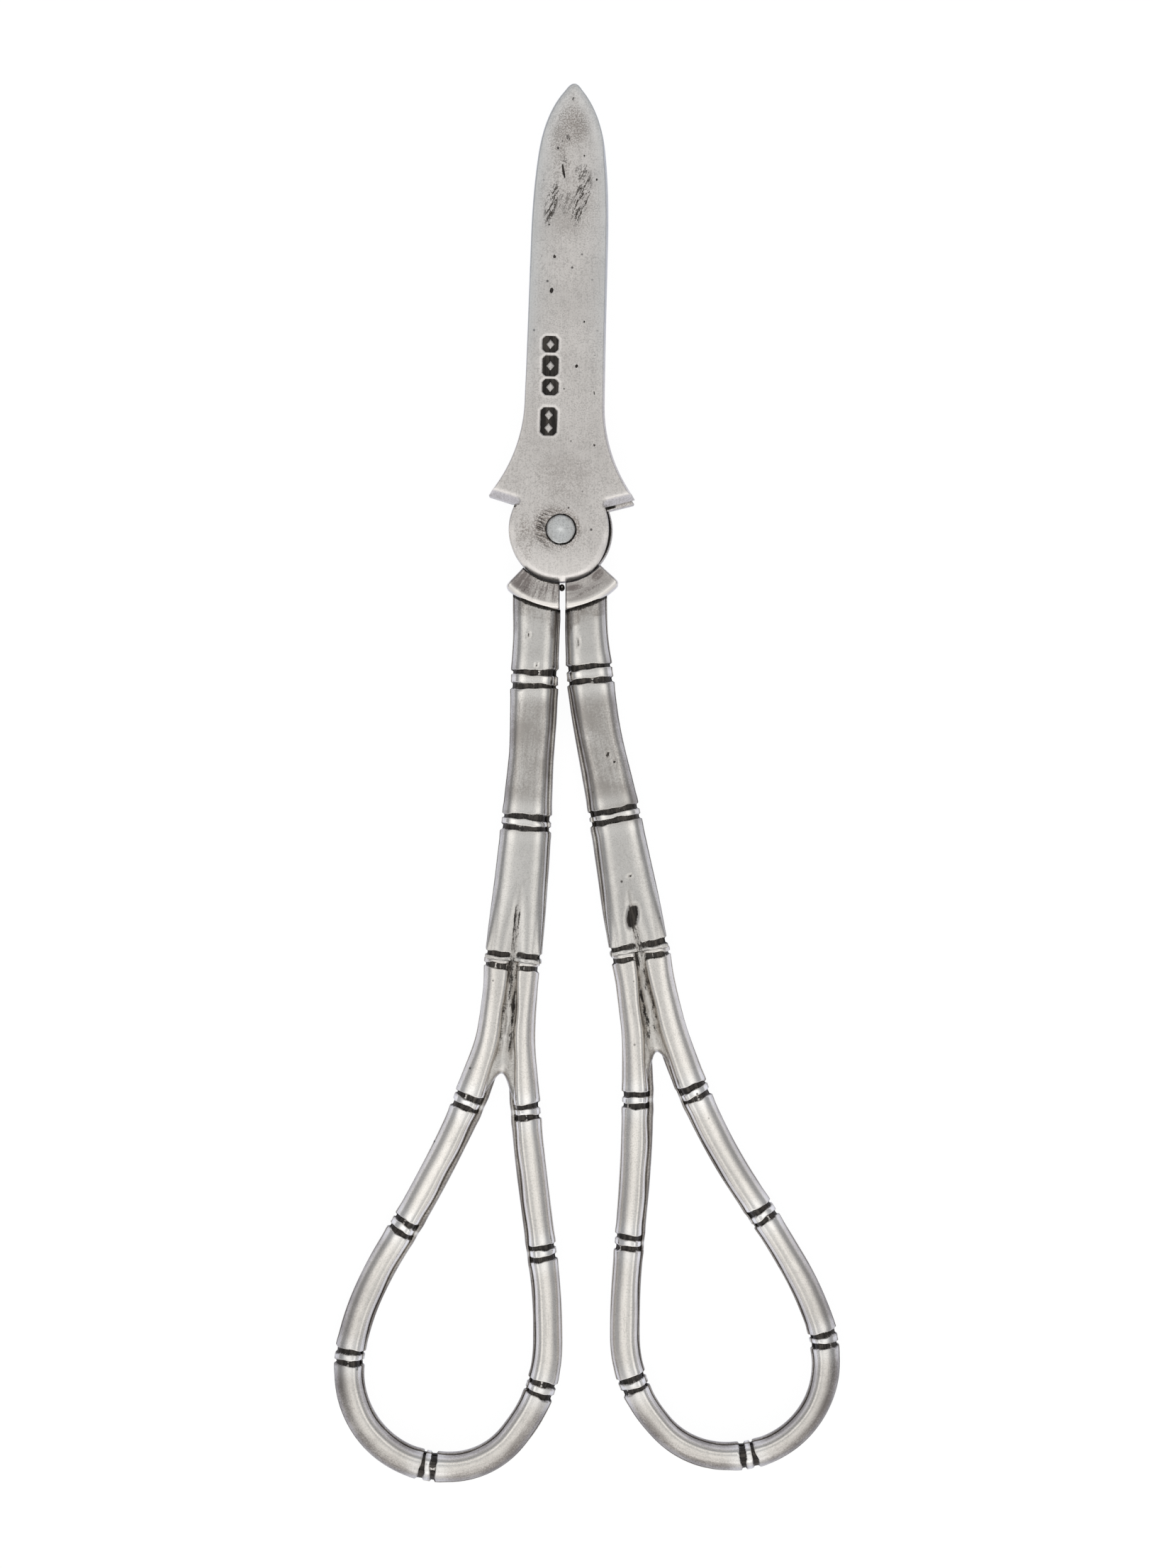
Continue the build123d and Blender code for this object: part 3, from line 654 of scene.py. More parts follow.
def punch_marks(x, v):
    """Depth, rim and raised lozenges of the punches from 0 to 1: a box with cut
    corners is where |x|, |v| and their slanted sum all stay inside its size. The
    rim is lighter on each punch's upper side, a painted highlight."""
    depth, rim, raised = np.zeros_like(x), np.zeros_like(x), np.zeros_like(x)
    corner_cut, lozenge_pitch, lozenge_half, lozenge_reach = 0.42, 1.62, 0.62, 0.74
    for px, pv, hx, hv, lozenges in punches:
        dx, dv = abs(x - px), abs(v - pv)
        inside = -most(dx - hx, dv - hv, (dx + dv + corner_cut - hx - hv) / math.sqrt(2))
        depth = np.maximum(depth, ramp(inside, -0.04, 0.12))
        # Painted highlight: each punch's rim is lighter on its upper side
        upper_side_highlight = 0.5 + 0.5 * ramp(v - pv - (x - px) * 0.3, -hv, hv)
        rim = np.maximum(rim, hill(inside, -0.20, 0.15) * upper_side_highlight)
        for k in range(lozenges):
            lozenge_v = pv + (k - (lozenges - 1) / 2) * lozenge_pitch
            lozenge = 1 - dx / lozenge_half - abs(v - lozenge_v) / lozenge_reach
            raised = np.maximum(raised, unit(lozenge * 2.2))
    return depth, rim, raised


def underside(x, v, corner):
    """Distance above the shoulders' underside and how far out its nearest point
    lies: the underside is a straight line falling towards the eye."""
    line = corner - shoulder_fall * (1 - abs(x) / shoulder_half_span)
    slope = shoulder_fall / shoulder_half_span
    return (v - line) / math.sqrt(1 + slope**2), abs(x) + (v - line) * slope / (1 + slope**2)


def make_front_blade():
    """The front blade: at each place along its axis one ring, over the face, down
    the right side, back along the underside with its flange, and up the left."""
    v = blade_rows()
    disc = root(eye_radius**2 - v**2)
    relief_radius, relief_shift, nest_radius, notch_x, notch_v = 7.5, 1.5, 6.7, 5.75, 2.75
    relieved = np.minimum(disc, root(relief_radius**2 - v**2) - relief_shift)
    left = -half_outline(v, front_corner, disc)
    right = half_outline(v, front_corner, np.maximum(relieved, 0))
    edge = np.sin(np.linspace(-math.pi / 2, -0.86, 13))
    middle = np.concatenate([np.arange(edge[-1] + 0.02, -0.10, 0.0165), np.arange(-0.10, -edge[-1], 0.024)])
    t = np.unique(np.round(np.concatenate([edge, middle, -edge]), 4))
    x = (right + left) / 2 + (right - left) / 2 * t
    vv = v + 0 * x
    above, foot = underside(x, vv, front_corner)
    beyond = ramp(foot, 5.2, 6.0) * (above > -0.05)
    under_drop = (0.34 * unit((1.15 - above) / 0.5) ** 2 + 2.1 * unit(0.65 - above)) * beyond
    r = np.hypot(x, vv)
    relief_rim = np.where(x > 0, relief_radius - np.hypot(x + relief_shift, vv), 9)
    eye_rim = np.maximum(np.minimum(eye_radius - r, relief_rim), 0)
    low = fade(vv, -2.5, 1.5)
    eye_slope = 0.42 * unit((0.85 - eye_rim) / 0.25) * unit(0.72 - eye_rim)
    eye_drop = np.maximum(eye_slope * low, edge_drop(eye_rim, 0.20)) * (vv < 2.5)
    eye_drop = eye_drop + 0.017 * np.maximum(-vv - 1.2, 0) ** 2
    side_right = (right - x) / steepness(right, v)
    side_left = (x - left) / steepness(left, v)
    high = ramp(vv, front_corner - 0.1, front_corner + 0.4)
    bevel = 1.5 * unit(0.28 * fade(vv, 46.0, 50.5) - side_right)
    side_drop = most(bevel, edge_drop(side_right, 0.14), edge_drop(side_left, 0.22)) * high
    side = np.minimum(side_left, side_right)
    crowned = 0.16 * unit(1 - side / 1.5) ** 2 * ramp(vv, 26.0, 48.0)
    depth, rim, raised = punch_marks(x, vv)
    pits = struck(x, vv, blade_pits)
    seat = ramp(r, 1.80, 1.92)
    angle = np.degrees(np.arctan2(vv, x)) % 360
    filed_way = hill(angle, 172, 62)
    dish = hill(r, 1.9, 0.50 + 0.80 * filed_way) * seat
    drop = most(under_drop, eye_drop, side_drop) + crowned + 0.35 * (1 - seat) + dish * (0.06 + 0.12 * filed_way)
    drop = drop + 0.24 * depth - 0.20 * depth * raised - 0.05 * rim + 0.05 * pits
    wave = 0.016 * ripple(x, vv, 2.6, 1.3) + 0.006 * ripple(x, vv, 0.9, 4.1)
    top = stack_depth - back_taper(vv) - drop + wave * (1 - unit(drop / 0.1))
    inner = np.minimum(-flange_inner, -root(nest_radius**2 - v**2))
    inner = np.where(v < front_corner - 1.6, left + 0.001, np.maximum(inner, left + 0.001))
    roof_x = right - 0.10 + (inner - right + 0.10) * np.linspace(0, 1, 14)
    foot_x = inner + (left - inner) * np.linspace(0, 1, 7)
    flange = ramp(inner - left, 0.02, 0.3)
    foot_z = front_plate_z * (1 - flange) + back_taper(v) * flange + 0 * foot_x
    foot_z[:, -1:] += 0.10 * flange
    below_z = np.concatenate([np.full_like(roof_x, front_plate_z), foot_z], 1)

    def wall(column, low_z, high_z, steps):
        return blade_points(column, v, low_z + (high_z - low_z) * steps)

    parts = [
        blade_points(x, v, top),
        wall(right, top[:, -1:], front_plate_z, np.linspace(0.12, 0.95, 6)),
        blade_points(np.concatenate([roof_x, foot_x], 1), v, below_z),
        wall(left, foot_z[:, -1:], top[:, :1], np.linspace(0.05, 0.92, 8)),
    ]
    seat_line = hill(r, 1.88, 0.16) * (0.80 + 0.20 * np.cos(np.radians(angle + 50)))
    notch = hill(np.hypot(abs(x) - notch_x, vv - notch_v), 0, 0.42)
    filed = filed_way * hill(r, 2.60, 0.80) * seat
    film = 0.10 + 0.65 * dish + 0.85 * filed + 0.8 * notch + 0.85 * hill(r, 2.05, 0.40) * seat
    film += struck(x, vv, blade_stains) + 0.30 * ramp(vv, 44.0, 54.0)
    film += 0.15 * beyond * fade(above, 0.40, 0.80)
    film *= 1 - 0.9 * raised * depth
    floor_dark = ramp(depth, 0.30, 0.70) * fade(raised, 0.25, 0.6)
    lip_dark = 0.05 * beyond * fade(above, 0.30, 0.65)
    cut = most(floor_dark, 0.95 * seat_line, 0.62 * notch, 0.95 * pits, lip_dark + 0.22 * filed)
    # Polish on the punches' rims, with a painted highlight on their upper side, and a painted highlight on the
    # eye's lower rim
    rub = 0.95 * rim * (1 - depth) + 0.9 * hill(eye_rim, 0.40, 0.30) * low * (vv < 2)
    # The shoulders' lip is lighter as polish and painted highlight, and the blade's edges are lighter
    rub += beyond * hill(above, 0.95, 0.25) * 0.7 + 0.4 * high * np.exp(-side / 0.35)
    # A lighter band beside the edge near the tip, and a painted highlight growing towards the bottom of the eye
    rub += 0.45 * hill(side, 0.85, 0.45) * ramp(vv, 43.0, 50.0) + 0.55 * ramp(-vv, 1.5, 6.0)
    cool = np.exp(-side / 1.1) * ramp(vv, 12.0, 30.0)
    return closed_skin(
        "front_blade_forged", np.concatenate(parts, 1), flat_ends=False,
        cut=round_ring(parts, cut, 0.15, 0.20, 0.12), film=round_ring(parts, unit(film), 0.30, 0.60, 0.35),
        rub=round_ring(parts, unit(rub), 0.30, 0, 0.2), filed=round_ring(parts, filed, 0, 0, 0),
        scored=round_ring(parts, struck(x, vv, blade_scores), 0, 0, 0), cool=round_ring(parts, cool, 0, 0, 0))


def make_rear_blade():
    """The rear blade: a flat plate beside the flange, whose right shoulder hangs a
    little lower than the front one's, with the whole round eye. Each ring goes over
    its front, down the right side, back along its back and up the left."""
    v = blade_rows()[::2]
    disc = root(eye_radius**2 - v**2)
    right = half_outline(v, rear_corner, disc)
    left = -np.where(v < 0, disc, np.maximum(np.minimum(rear_plate_half, right), disc))
    x = (left + right) / 2 + (right - left) / 2 * np.sin(np.linspace(-math.pi / 2, math.pi / 2, 60))
    vv = v + 0 * x
    side_right = (right - x) / steepness(right, v)
    above, foot = underside(x, vv, rear_corner)
    hanging = np.where((foot > 5.8) & (above > -0.05), abs(above), 9.0)
    rim = np.minimum(np.minimum(side_right, hanging), abs(x - left) + 0.02)
    r = np.hypot(x, vv)
    ring = hill(r, 2.25, 0.12)
    bottom = back_taper(vv) + edge_drop(rim, 0.18) + 0.10 * ring + 0.008 * ripple(x, vv, 2.2, 7.7)
    face = blade_points(x, v, plate_thickness - edge_drop(rim, 0.34) * 0.9)
    back = blade_points(x, v, np.maximum(bottom, 0.0))[:, ::-1]
    steps = np.linspace(0.15, 0.85, 5)[:, None]
    right_wall = face[:, -1:] + (back[:, :1] - face[:, -1:]) * steps
    left_wall = face[:, :1] + (back[:, -1:] - face[:, :1]) * steps[::-1]
    # Painted shadow: a black band along the right edge for the gap under the front blade, wide beside the eye and
    # fading higher up. The side walls are darkened as painted shade too.
    gap = ramp(rim, 0.10, 0.22) * fade(side_right, 0.9, 2.0) * 0.95
    gap = gap * (1 - ramp(x, 6.3, 7.3) * (vv > 0)) * (1 - 0.8 * ramp(vv, 3.4, 5.0))
    scratched = 0.35 * (ripple(x * 3, vv, 0.3, 5.0) > 0.25) * (vv < -1.0)
    swept = patches(3.0 * r, 0.1 * np.degrees(np.arctan2(vv, x)), 0.9, 6.3)
    parts = [face, right_wall, back, left_wall]
    ring_dark, back_film = 0.85 * ring[:, ::-1] + 0.05, 0.22 + 0.4 * hill(r[:, ::-1], 2.6, 0.8)
    return closed_skin(
        "rear_blade_forged", np.concatenate(parts, 1), flat_ends=False,
        cut=round_ring(parts, unit(gap - scratched), np.where(v < 4.2, 0.30, 0.12), ring_dark, 0.5),
        film=round_ring(parts, 0.15 + 0.65 * gap + 0.40 * swept, 0.45, back_film, 0.6))


def make_rivet():
    """The pivot rivet: its profile turned about the pivot, a flat hammered head with
    a small boss above, a shank, and a flush cone below."""
    head_radius, tail_radius = 1.80, 2.12
    share = np.linspace(0.02, 1.0, 22)
    head = stack_depth + 0.20 - 0.12 * share**2 + 0.12 * hill(share, 0.0, 0.22) - 0.10 * ramp(share, 0.90, 1.0)
    profile = [(head_radius * d, z) for d, z in zip(share, head)]
    profile += [(1.81, 4.34), (1.78, 3.98), (1.5, 3.95), (1.5, 0.62), (2.18, 0.06), (tail_radius, 0.01)]
    profile += [(tail_radius * d, 0.005) for d in (0.8, 0.5, 0.2, 0.02)]
    out, z = np.array(profile).T[..., None]
    turn = np.linspace(0, 2 * math.pi, 96, endpoint=False)
    flats = 1 + 0.007 * np.cos(7 * turn + 0.6) + 0.005 * np.cos(11 * turn)
    radius = out * np.where(out > 1.3, flats, 1.0)
    x, y = radius * np.cos(turn), radius * np.sin(turn)
    on_head = z > 4.3
    hammered = np.maximum(z + 0.022 * ripple(x, y, 0.36, 3.0) * on_head, 0.003)
    rim = hill(out, 1.81, 0.05) * (z < 4.45)
    # Painted highlight: the middle of the head is lighter
    return closed_skin(
        "rivet_hammered", np.dstack([x, y, hammered]), flat_ends=False,
        cut=0.9 * rim, film=0.10 + 0.25 * ramp(radius, 1.0, 1.8), rub=hill(radius, 0, 0.30) * on_head)


def make_collar(name, side, gap, edge_angle, stains, seed):
    """A collar: its section, a dished face that falls to a bright bevelled lip,
    carried round the eye from the radial edge to the parting line."""
    inner_r, mean_r, lip_width, corner, half_height = 6.66, 8.3, 0.85, 0.60, 2.149
    lip_start = collar_radius - lip_width
    t = np.concatenate([[0, 0.010, 0.024], np.linspace(0.045, 0.955, 70), [0.976, 0.99, 1.0]])[:, None]
    face_r = np.linspace(inner_r + 0.05, lip_start, 30)
    lip = np.linspace(0, math.pi / 2, 12)[1:]
    lip_r = lip_start + lip_width * np.sin(lip)
    lip_z = 1.93 - 0.62 * (1 - np.cos(lip))
    inward = (face_r - inner_r) / (lip_start - inner_r)
    top_z = 2.09 - 0.16 * inward - 0.09 * np.sin(math.pi * inward)
    r = np.concatenate([face_r, lip_r, np.full(7, collar_radius), lip_r[::-1], face_r[::-1], [inner_r] * 5])
    rim_z, bore_z = np.linspace(1.2, -1.2, 7), np.linspace(-1.9, 1.9, 5)
    z = np.concatenate([top_z, lip_z, rim_z, -lip_z[::-1], -top_z[::-1], bore_z])
    parting = -math.pi / 2 + side * np.arcsin(gap / r)
    reach = np.clip(r - (collar_radius - corner), 0, corner)
    start = math.radians(edge_angle - 360) - side * (corner - root(corner**2 - reach**2)) / r
    angle = start + (parting - start) * t
    ends = np.minimum(t, 1 - t) * abs(parting - start).mean() * mean_r
    rr = r + 0 * angle
    x, y = rr * np.cos(angle), rr * np.sin(angle)
    zz = z - edge_drop(ends, 0.30) * (abs(z) > 1.25) * np.sign(z)
    zz = zz + 0.035 * ripple(x, y, 0.9, seed) * np.sign(z) * (rr < 9.3) * (abs(z) > 1.8)
    zz = np.clip(zz, -half_height, half_height)
    patch = patches(x, y, 1.1, seed + 2)
    stained = struck(x, y, stains)
    on_face = fade(rr, lip_start - 0.25, lip_start + 0.25)
    # The dished face is darker, the left collar more: tarnish, and painted shade
    film = (0.50 - 0.22 * side + 0.50 * patch) * on_face + stained + 0.04
    # Painted shadow: black along the eye's edge, wider on the left collar
    eye_edge_shadow = fade(rr, inner_r, inner_r + (0.50 if side < 0 else 0.20))
    cut = np.where(abs(zz) > 1.3, np.maximum(0.9 * eye_edge_shadow, 0.46 * stained), 0.25)
    # The lip is lighter as polish and painted highlight, and the ends are lighter
    rub = hill(rr, lip_start + 0.35, 0.35) * (abs(z) > 1.3) + 0.5 * np.exp(-ends / 0.2) * (rr > 7.2)
    along, across = (rr, angle * mean_r)[::-side]
    return closed_skin(
        name, np.dstack([x, y, middle_z + zz]), cut=cut, film=unit(film), rub=unit(rub), along=along, across=across)


class Wiring:
    """The nodes of a material or a world, with a short call for each step that the
    finishes are made of."""

    def __init__(self, owner):
        owner.use_nodes = True
        self.tree = owner.node_tree

    def feed(self, node, inputs):
        """Joins each input of a node to a socket, or gives it a value."""
        for key, value in inputs.items():
            if isinstance(value, bpy.types.NodeSocket):
                self.tree.links.new(value, node.inputs[key])
            else:
                node.inputs[key].default_value = value

    def add(self, kind, inputs, **settings):
        """The outputs of a new node with its inputs and settings."""
        made = self.tree.nodes.new(kind)
        for key, value in settings.items():
            setattr(made, key, value)
        self.feed(made, inputs)
        return made.outputs

    def maths(self, operation, a, b, clamp=False):
        """One step of arithmetic with two values."""
        return self.add("ShaderNodeMath", {0: a, 1: b}, operation=operation, use_clamp=clamp)[0]

    plus = functools.partialmethod(maths, "ADD")
    minus = functools.partialmethod(maths, "SUBTRACT")
    times = functools.partialmethod(maths, "MULTIPLY")
    greater = functools.partialmethod(maths, "MAXIMUM")

    def swayed(self, value, *others):
        """The value plus weight * (other - 1/2) for each other and its weight."""
        for other, weight in others:
            value = self.plus(value, self.times(self.minus(other, 0.5), weight))
        return value

    def tint(self, share, weight, a, b):
        """From colour a to colour b by a share times its weight."""
        share = self.times(share, weight, clamp=True)
        return self.add("ShaderNodeMix", {0: share, 6: a, 7: b}, data_type="RGBA")[2]

    def band(self, value, low, high):
        """0 below low, 1 above high, smooth in between."""
        inputs = {"Value": value, "From Min": low, "From Max": high, "To Min": 0.0, "To Max": 1.0}
        return self.add("ShaderNodeMapRange", inputs, interpolation_type="SMOOTHSTEP")[0]

    def grain(self, vector, length, width, turn=0.0, detail=3.0, rough=0.6):
        """Noise whose features are so long along an axis and so wide across it, in
        millimetres, the axis turned from x in degrees."""
        size = (length / 10, width / 10, max(length, width) / 10)
        inputs = {"Vector": vector, "Scale": size, "Rotation": (0.0, 0.0, math.radians(turn))}
        inputs = {"Vector": self.add("ShaderNodeMapping", inputs, vector_type="TEXTURE")[0]}
        inputs.update({"Scale": 100.0, "Detail": detail, "Roughness": rough})
        return self.add("ShaderNodeTexNoise", inputs)[0]

    def mark(self, name):
        """An attribute of the mesh."""
        return self.add("ShaderNodeAttribute", {}, attribute_name=name)["Fac"]

    def ray_kinds(self):
        """Whether a ray comes from the camera, and whether it was mirrored or let through."""
        path = self.add("ShaderNodeLightPath", {})
        return path["Is Camera Ray"], self.greater(path["Is Glossy Ray"], path["Is Transmission Ray"])


def shade(colour, factor):
    """A colour made lighter or darker."""
    return tuple(min(1.0, c * factor) for c in colour[:3]) + (1.0,)


def worn_silver(name, base, roughness, follows=False, hatched=False, speckle=0.5, streaky=0.45, clouds=0.5,
                relief=0.55, unevenness=0.16, grit=0.3, drawn=0.6, veil=0.0, film_tone=(0.20, 0.165, 0.13, 1)):
    """Old silver: a satin metal with fine speckle, cloudy tarnish, sparse pits and
    scratches, lighter where the mark 'rub' is high, which holds rubbed
    polish and painted highlights, under a brown film where 'film' is high,
    which holds tarnish and painted shade, and filled with ragged black where 'cut' is
    high, which holds dirt in recesses and also painted shadow. Grit and drawn are how
    far the fine grain and the streaks break up the film, and veil is its even share.
    The streaks of a finish that follows run along its piece, and the hatched one has
    file strokes where 'filed' and slashes where 'scored' are high."""
    material = bpy.data.materials.new(name)
    w = Wiring(material)
    place = w.add("ShaderNodeTexCoord", {})["Object"]
    lay = place
    if follows:
        along, across = w.times(w.mark("along"), MM), w.times(w.mark("across"), MM)
        lay = w.add("ShaderNodeCombineXYZ", {0: across, 1: along, 2: 0.0})[0]
    cut, film, rub = w.mark("cut"), w.mark("film"), w.mark("rub")
    cloud = w.grain(place, 6.0, 6.0, detail=4.0)
    mottle = w.grain(place, 1.1, 1.1)
    fine = w.grain(place, 0.18, 0.18, detail=2.0, rough=0.7)
    streaks = w.grain(lay, 0.42, 6.5, detail=4.0, rough=0.7)
    spikes = w.grain(lay, 0.16, 1.0, detail=2.0)
    cells = w.add("ShaderNodeTexVoronoi", {"Vector": place, "Scale": 640.0}, feature="F1")
    few = w.band(cells["Color"], 0.80, 0.84)
    pits = w.times(w.minus(1.0, w.band(cells["Distance"], 0.05, 0.15)), few)
    black = w.band(w.swayed(cut, (mottle, 0.40), (fine, 0.30), (spikes, 0.55)), 0.44, 0.66)
    soot = w.tint(w.band(streaks, 0.40, 0.66), 1.0, (0.020, 0.018, 0.017, 1), (0.085, 0.075, 0.066, 1))
    film = w.times(film, w.minus(1.0, w.times(rub, 0.7)))
    dim = w.band(w.swayed(cloud, (fine, grit), (streaks, drawn)), 0.26, 0.66)
    dim = w.times(film, w.plus(w.times(dim, 1 - veil), veil))
    colour = w.tint(w.band(cloud, 0.40, 0.68), clouds, base, shade(base, 0.84))
    colour = w.tint(w.band(w.swayed(fine, (mottle, 0.28)), 0.45, 0.70), speckle, colour, shade(base, 0.55))
    colour = w.tint(w.band(streaks, 0.54, 0.74), streaky, colour, shade(base, 0.55))
    # Rubbed polish and painted highlights lighten the colour
    colour = w.tint(rub, 0.72, colour, shade(base, 1.42))
    # The film darkens it towards its tone: tarnish, and painted shade
    colour = w.tint(dim, 0.80, colour, film_tone)
    colour = w.tint(pits, 0.85, colour, (0.03, 0.027, 0.025, 1))
    gloss = w.swayed(w.times(dim, 0.14), (mottle, unevenness))
    gloss = w.plus(w.minus(gloss, w.times(rub, 0.08)), roughness)
    height = w.plus(w.times(fine, 0.45), w.times(streaks, 0.30))
    height = w.minus(height, w.times(pits, 1.2))
    if hatched:
        strokes = w.band(w.grain(place, 1.5, 0.20, turn=-22), 0.50, 0.60)
        filing = w.times(strokes, w.mark("filed"))
        slashes = w.band(w.swayed(w.grain(place, 1.1, 0.17, turn=62, detail=2.0), (fine, 0.50)), 0.51, 0.58)
        colour = w.tint(w.mark("cool"), 0.65, colour, (0.51, 0.545, 0.565, 1))
        scratches = w.greater(filing, w.times(slashes, w.mark("scored")))
        brushing = w.band(w.grain(place, 0.11, 9.0, turn=-1.7, detail=2.0), 0.42, 0.70)
        colour = w.tint(brushing, 0.12, colour, shade(base, 0.50))
        hairs = w.band(w.grain(place, 0.17, 7.0, turn=4), 0.62, 0.72)
        colour = w.tint(hairs, 0.22, colour, shade(base, 0.40))
        colour = w.tint(scratches, 0.95, colour, (0.05, 0.042, 0.035, 1))
        height = w.minus(height, w.times(scratches, 1.3))
    # Ragged black where 'cut' is high: dirt in recesses, and painted shadow
    colour = w.tint(black, 0.97, colour, soot)
    gloss = w.plus(gloss, w.times(black, 0.25), clamp=True)
    bump = w.add("ShaderNodeBump", {"Height": height, "Strength": relief, "Distance": 0.00006})[0]
    inputs = {"Base Color": colour, "Roughness": gloss, "Normal": bump, "Metallic": 1.0}
    w.feed(w.tree.nodes["Principled BSDF"], inputs)
    return material


blade_finish = worn_silver(
    "satin_blade_silver", (0.64, 0.61, 0.585, 1), 0.43, hatched=True, speckle=0.62, streaky=0.25,
    grit=2.2, drawn=0.0, film_tone=(0.27, 0.235, 0.21, 1))
# The loops' silver has a lighter base than the stems' silver of the same metal: partly polish, partly painted light
handle_finish = worn_silver(
    "rubbed_handle_silver", (0.79, 0.755, 0.71, 1), 0.24, follows=True, speckle=0.38, clouds=0.3,
    relief=0.16, unevenness=0.05, grit=0.7, veil=0.62, film_tone=(0.098, 0.080, 0.072, 1))
collar_finish = worn_silver(
    "tarnished_collar_silver", (0.62, 0.59, 0.56, 1), 0.30, follows=True, speckle=0.35,
    relief=0.3, unevenness=0.08, grit=0.45, drawn=0.9, film_tone=(0.11, 0.088, 0.083, 1))
# The stems' silver is the same metal with a darker base: partly dull wear, partly painted shade
stem_finish = worn_silver(
    "dulled_and_shaded_stem_silver", (0.65, 0.63, 0.60, 1), 0.24, follows=True, speckle=0.38, clouds=0.3,
    relief=0.2, unevenness=0.05, grit=0.6, veil=0.3, film_tone=(0.235, 0.21, 0.19, 1))
rivet_finish = worn_silver("hammered_rivet_silver", (0.55, 0.56, 0.56, 1), 0.36, speckle=0.7, streaky=0.1)
solder_finish = worn_silver("pitted_solder", (0.58, 0.56, 0.53, 1), 0.34, follows=True, speckle=0.7, streaky=1.0)


def dress(piece, finish, body, slot, *nodes):
    """Gives a piece its finish and its body, and hides the parts of the nodes it stands for. Its slot is not used.
    """
    piece.data.materials.append(finish)
    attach(piece, body)
    if nodes:
        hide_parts(*nodes)


left_collar_stains = [
    (-4.3, -6.9, 1.4, 0.65, 35, 0.95), (-2.6, -7.7, 1.9, 0.95, 62, 0.8), (-5.2, -6.1, 0.9, 0.6, -45, 0.8),
    (-2.7, -8.4, 2.2, 0.45, 105, 0.6), (-5.6, -7.0, 0.6, 0.9, 0, 0.5),
]
right_collar_stains = [
    (4.6, -5.7, 0.9, 0.5, 45, 0.7), (1.6, -7.3, 1.3, 0.35, 80, 0.7), (3.4, -7.6, 2.0, 0.16, 62, 0.6),
]

dress(make_front_blade(), blade_finish, "front_half", "blade_silver", "front_blade")
dress(make_rear_blade(), blade_finish, "rear_half", "blade_silver", "rear_blade")
dress(make_rivet(), rivet_finish, "rear_half", "rivet_silver", "pivot_rivet")
dress(make_collar("left_collar_cast", -1, 0.15, 225.5, left_collar_stains, 0.4),
      collar_finish, "rear_half", "collar_silver", "left_collar")
dress(make_collar("right_collar_cast", 1, 0.58, 318.0, right_collar_stains, 2.9),
      collar_finish, "front_half", "collar_silver", "right_collar")
dress(make_gap_dark_lump(), solder_finish, "rear_half", "collar_silver")
dress(make_stem("left_stem_cast", left_stem, left_seam, 0.7),
      stem_finish, "rear_half", "handle_silver", "left_stem")
dress(make_stem("right_stem_cast", right_stem, right_seam, 3.1),
      stem_finish, "front_half", "handle_silver", "right_stem")
for loop, seam, body, word, seed in ((left_loop, left_seam, "rear_half", "left", 1.1),
                                     (right_loop, right_seam, "front_half", "right", 4.6)):
    dress(make_cane(word + "_loop_cane", loop, seam, seed),
          handle_finish, body, "handle_silver", word + "_finger_loop")
    dress(make_fork_solder(word + "_loop_solder", loop, seam, seed), solder_finish, body, "handle_silver")


floor_mesh = bpy.data.meshes.new("floor")
floor_mesh.from_pydata([(-3, -3, -0.0001), (3, -3, -0.0001), (3, 3, -0.0001), (-3, 3, -0.0001)], [], [(0, 1, 2, 3)])
floor = placed("floor", floor_mesh)
paper = bpy.data.materials.new("white_paper")
w = Wiring(paper)
sheet = w.tree.nodes["Principled BSDF"]
w.feed(sheet, {"Base Color": (0.86, 0.86, 0.87, 1), "Roughness": 1.0, "Specular IOR Level": 0.0})
camera_ray, mirrored = w.ray_kinds()
paper_white = w.tint(mirrored, 1.0, (1.0, 1.0, 1.0, 1), (0.88, 0.90, 1.0, 1))
glow = w.add("ShaderNodeEmission", {"Color": paper_white, "Strength": 1.06})[0]
seen = w.times(w.greater(camera_ray, mirrored), 0.88)
blend = w.add("ShaderNodeMixShader", {0: seen, 1: sheet.outputs[0], 2: glow})[0]
w.feed(w.tree.nodes["Material Output"], {"Surface": blend})
floor_mesh.materials.append(paper)

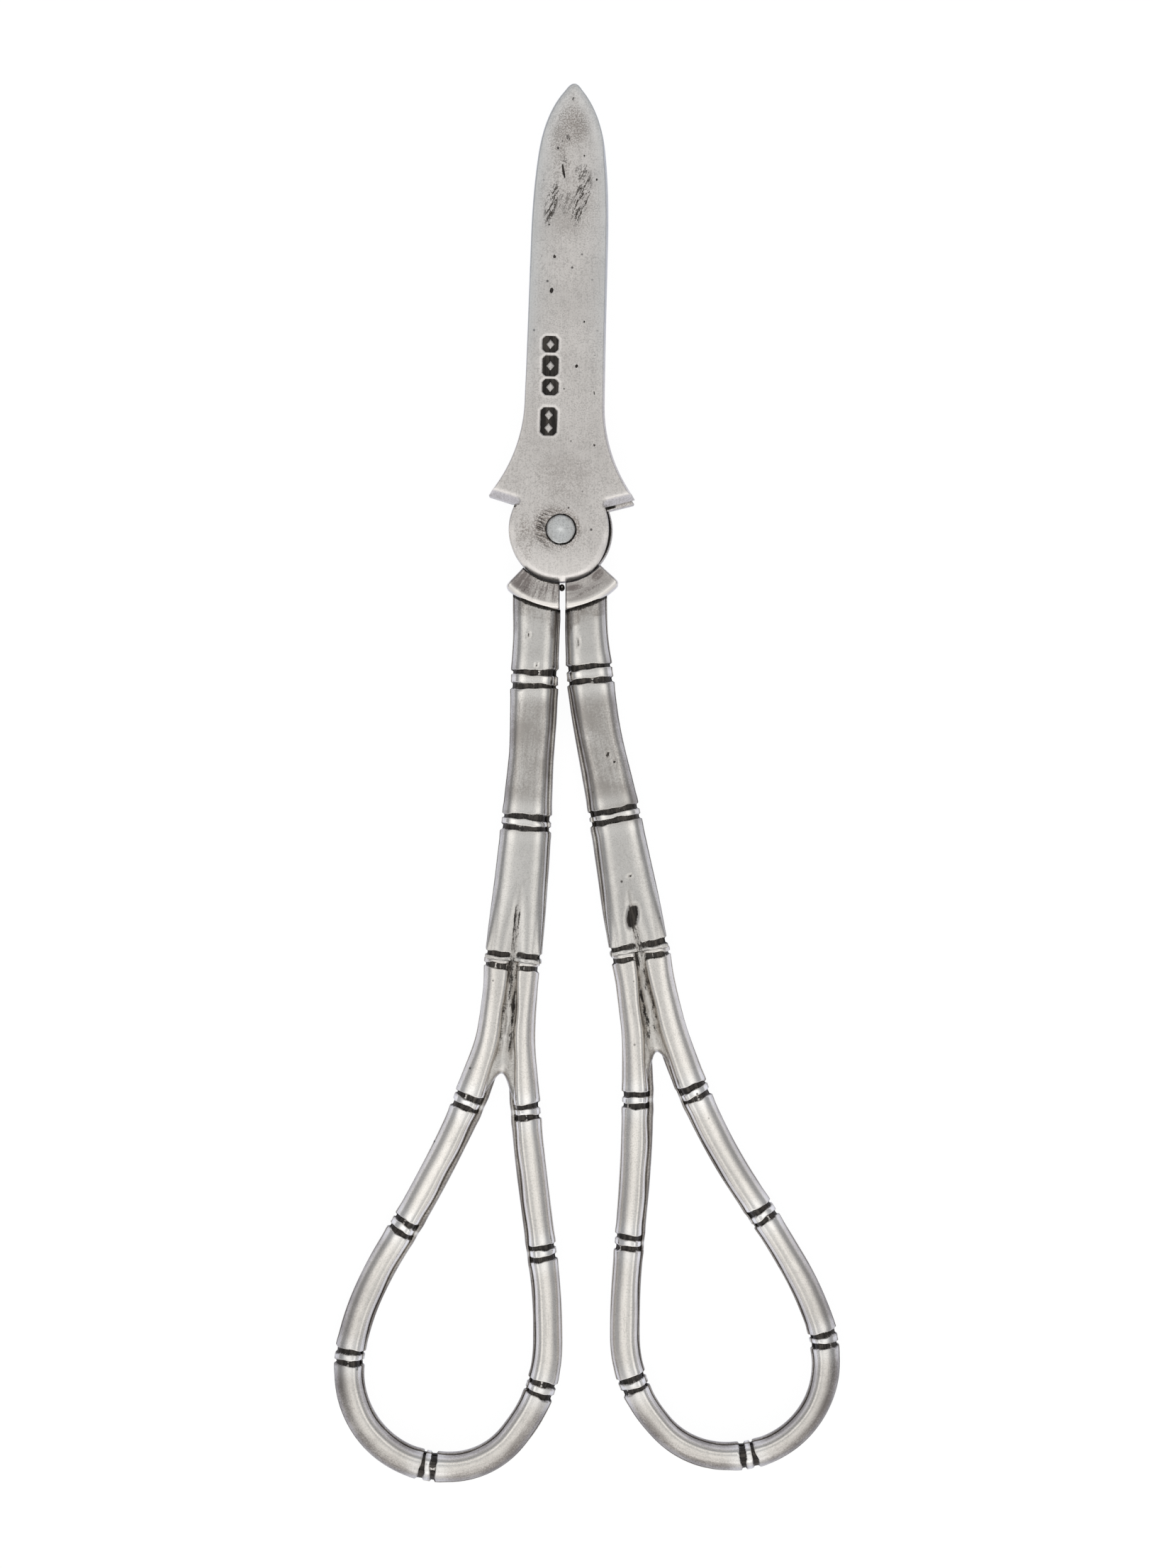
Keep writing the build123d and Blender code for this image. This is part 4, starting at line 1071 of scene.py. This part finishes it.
# The studio: white paper up to a little above the horizon, then a dark room with a
# light front, and a bright tent overhead round the dimmer hole of the lens
world = bpy.data.worlds.new("studio")
bpy.context.scene.world = world
w = Wiring(world)
way = w.add("ShaderNodeSeparateXYZ", {0: w.add("ShaderNodeTexCoord", {})["Generated"]})
towards_front = w.band(w.times(way[1], -1.0), 0.15, 0.75)
room_colour = w.tint(towards_front, 1.0, (0.42, 0.43, 0.45, 1), (0.95, 0.95, 0.95, 1))
room_colour = w.tint(w.band(way[2], 0.55, 0.90), 1.0, room_colour, (1.10, 1.10, 1.09, 1))
room_colour = w.tint(w.band(way[2], 0.935, 1.0), 1.0, room_colour, (0.56, 0.57, 0.58, 1))
room = w.tree.nodes["Background"]
w.feed(room, {"Color": room_colour, "Strength": 1.0})
white = w.add("ShaderNodeBackground", {"Color": (1, 1, 1, 1), "Strength": 1.0})[0]
camera_ray, mirrored = w.ray_kinds()
near_horizon = w.minus(1.0, w.band(way[2], 0.04, 0.16))
seen = w.greater(camera_ray, w.times(mirrored, near_horizon))
mix = w.add("ShaderNodeMixShader", {0: seen, 1: room.outputs[0], 2: white})[0]
w.feed(w.tree.nodes["World Output"], {"Surface": mix})


def soft_lamp(name, place, size, power):
    """A rectangular lamp aimed at the middle of the handles."""
    data = bpy.data.lights.new(name, "AREA")
    data.shape = "RECTANGLE"
    data.size, data.size_y = size
    data.energy = power
    lamp = placed(name, data)
    lamp.location = place
    lamp.rotation_euler = (Vector((0, -0.03, 0)) - Vector(place)).to_track_quat("-Z", "Y").to_euler()


soft_lamp("left_strip", (-0.36, -0.03, 0.70), (0.10, 0.80), 0.12)
soft_lamp("right_strip", (0.38, -0.03, 0.70), (0.10, 0.80), 0.10)
soft_lamp("front_box", (0.0, -0.75, 0.45), (0.9, 0.22), 0.4)

# The camera looks straight down from above the pieces' middle
camera_distance = 0.38
frame_height = 0.1962
camera_data = bpy.data.cameras.new("camera")
camera_data.sensor_width = 36.0
camera_data.lens = camera_data.sensor_width * camera_distance / frame_height
camera = placed("camera", camera_data)
camera.location = (0.00340, -0.03178, camera_distance + 0.0030)
bpy.context.scene.camera = camera
bpy.context.scene.view_settings.view_transform = "Standard"
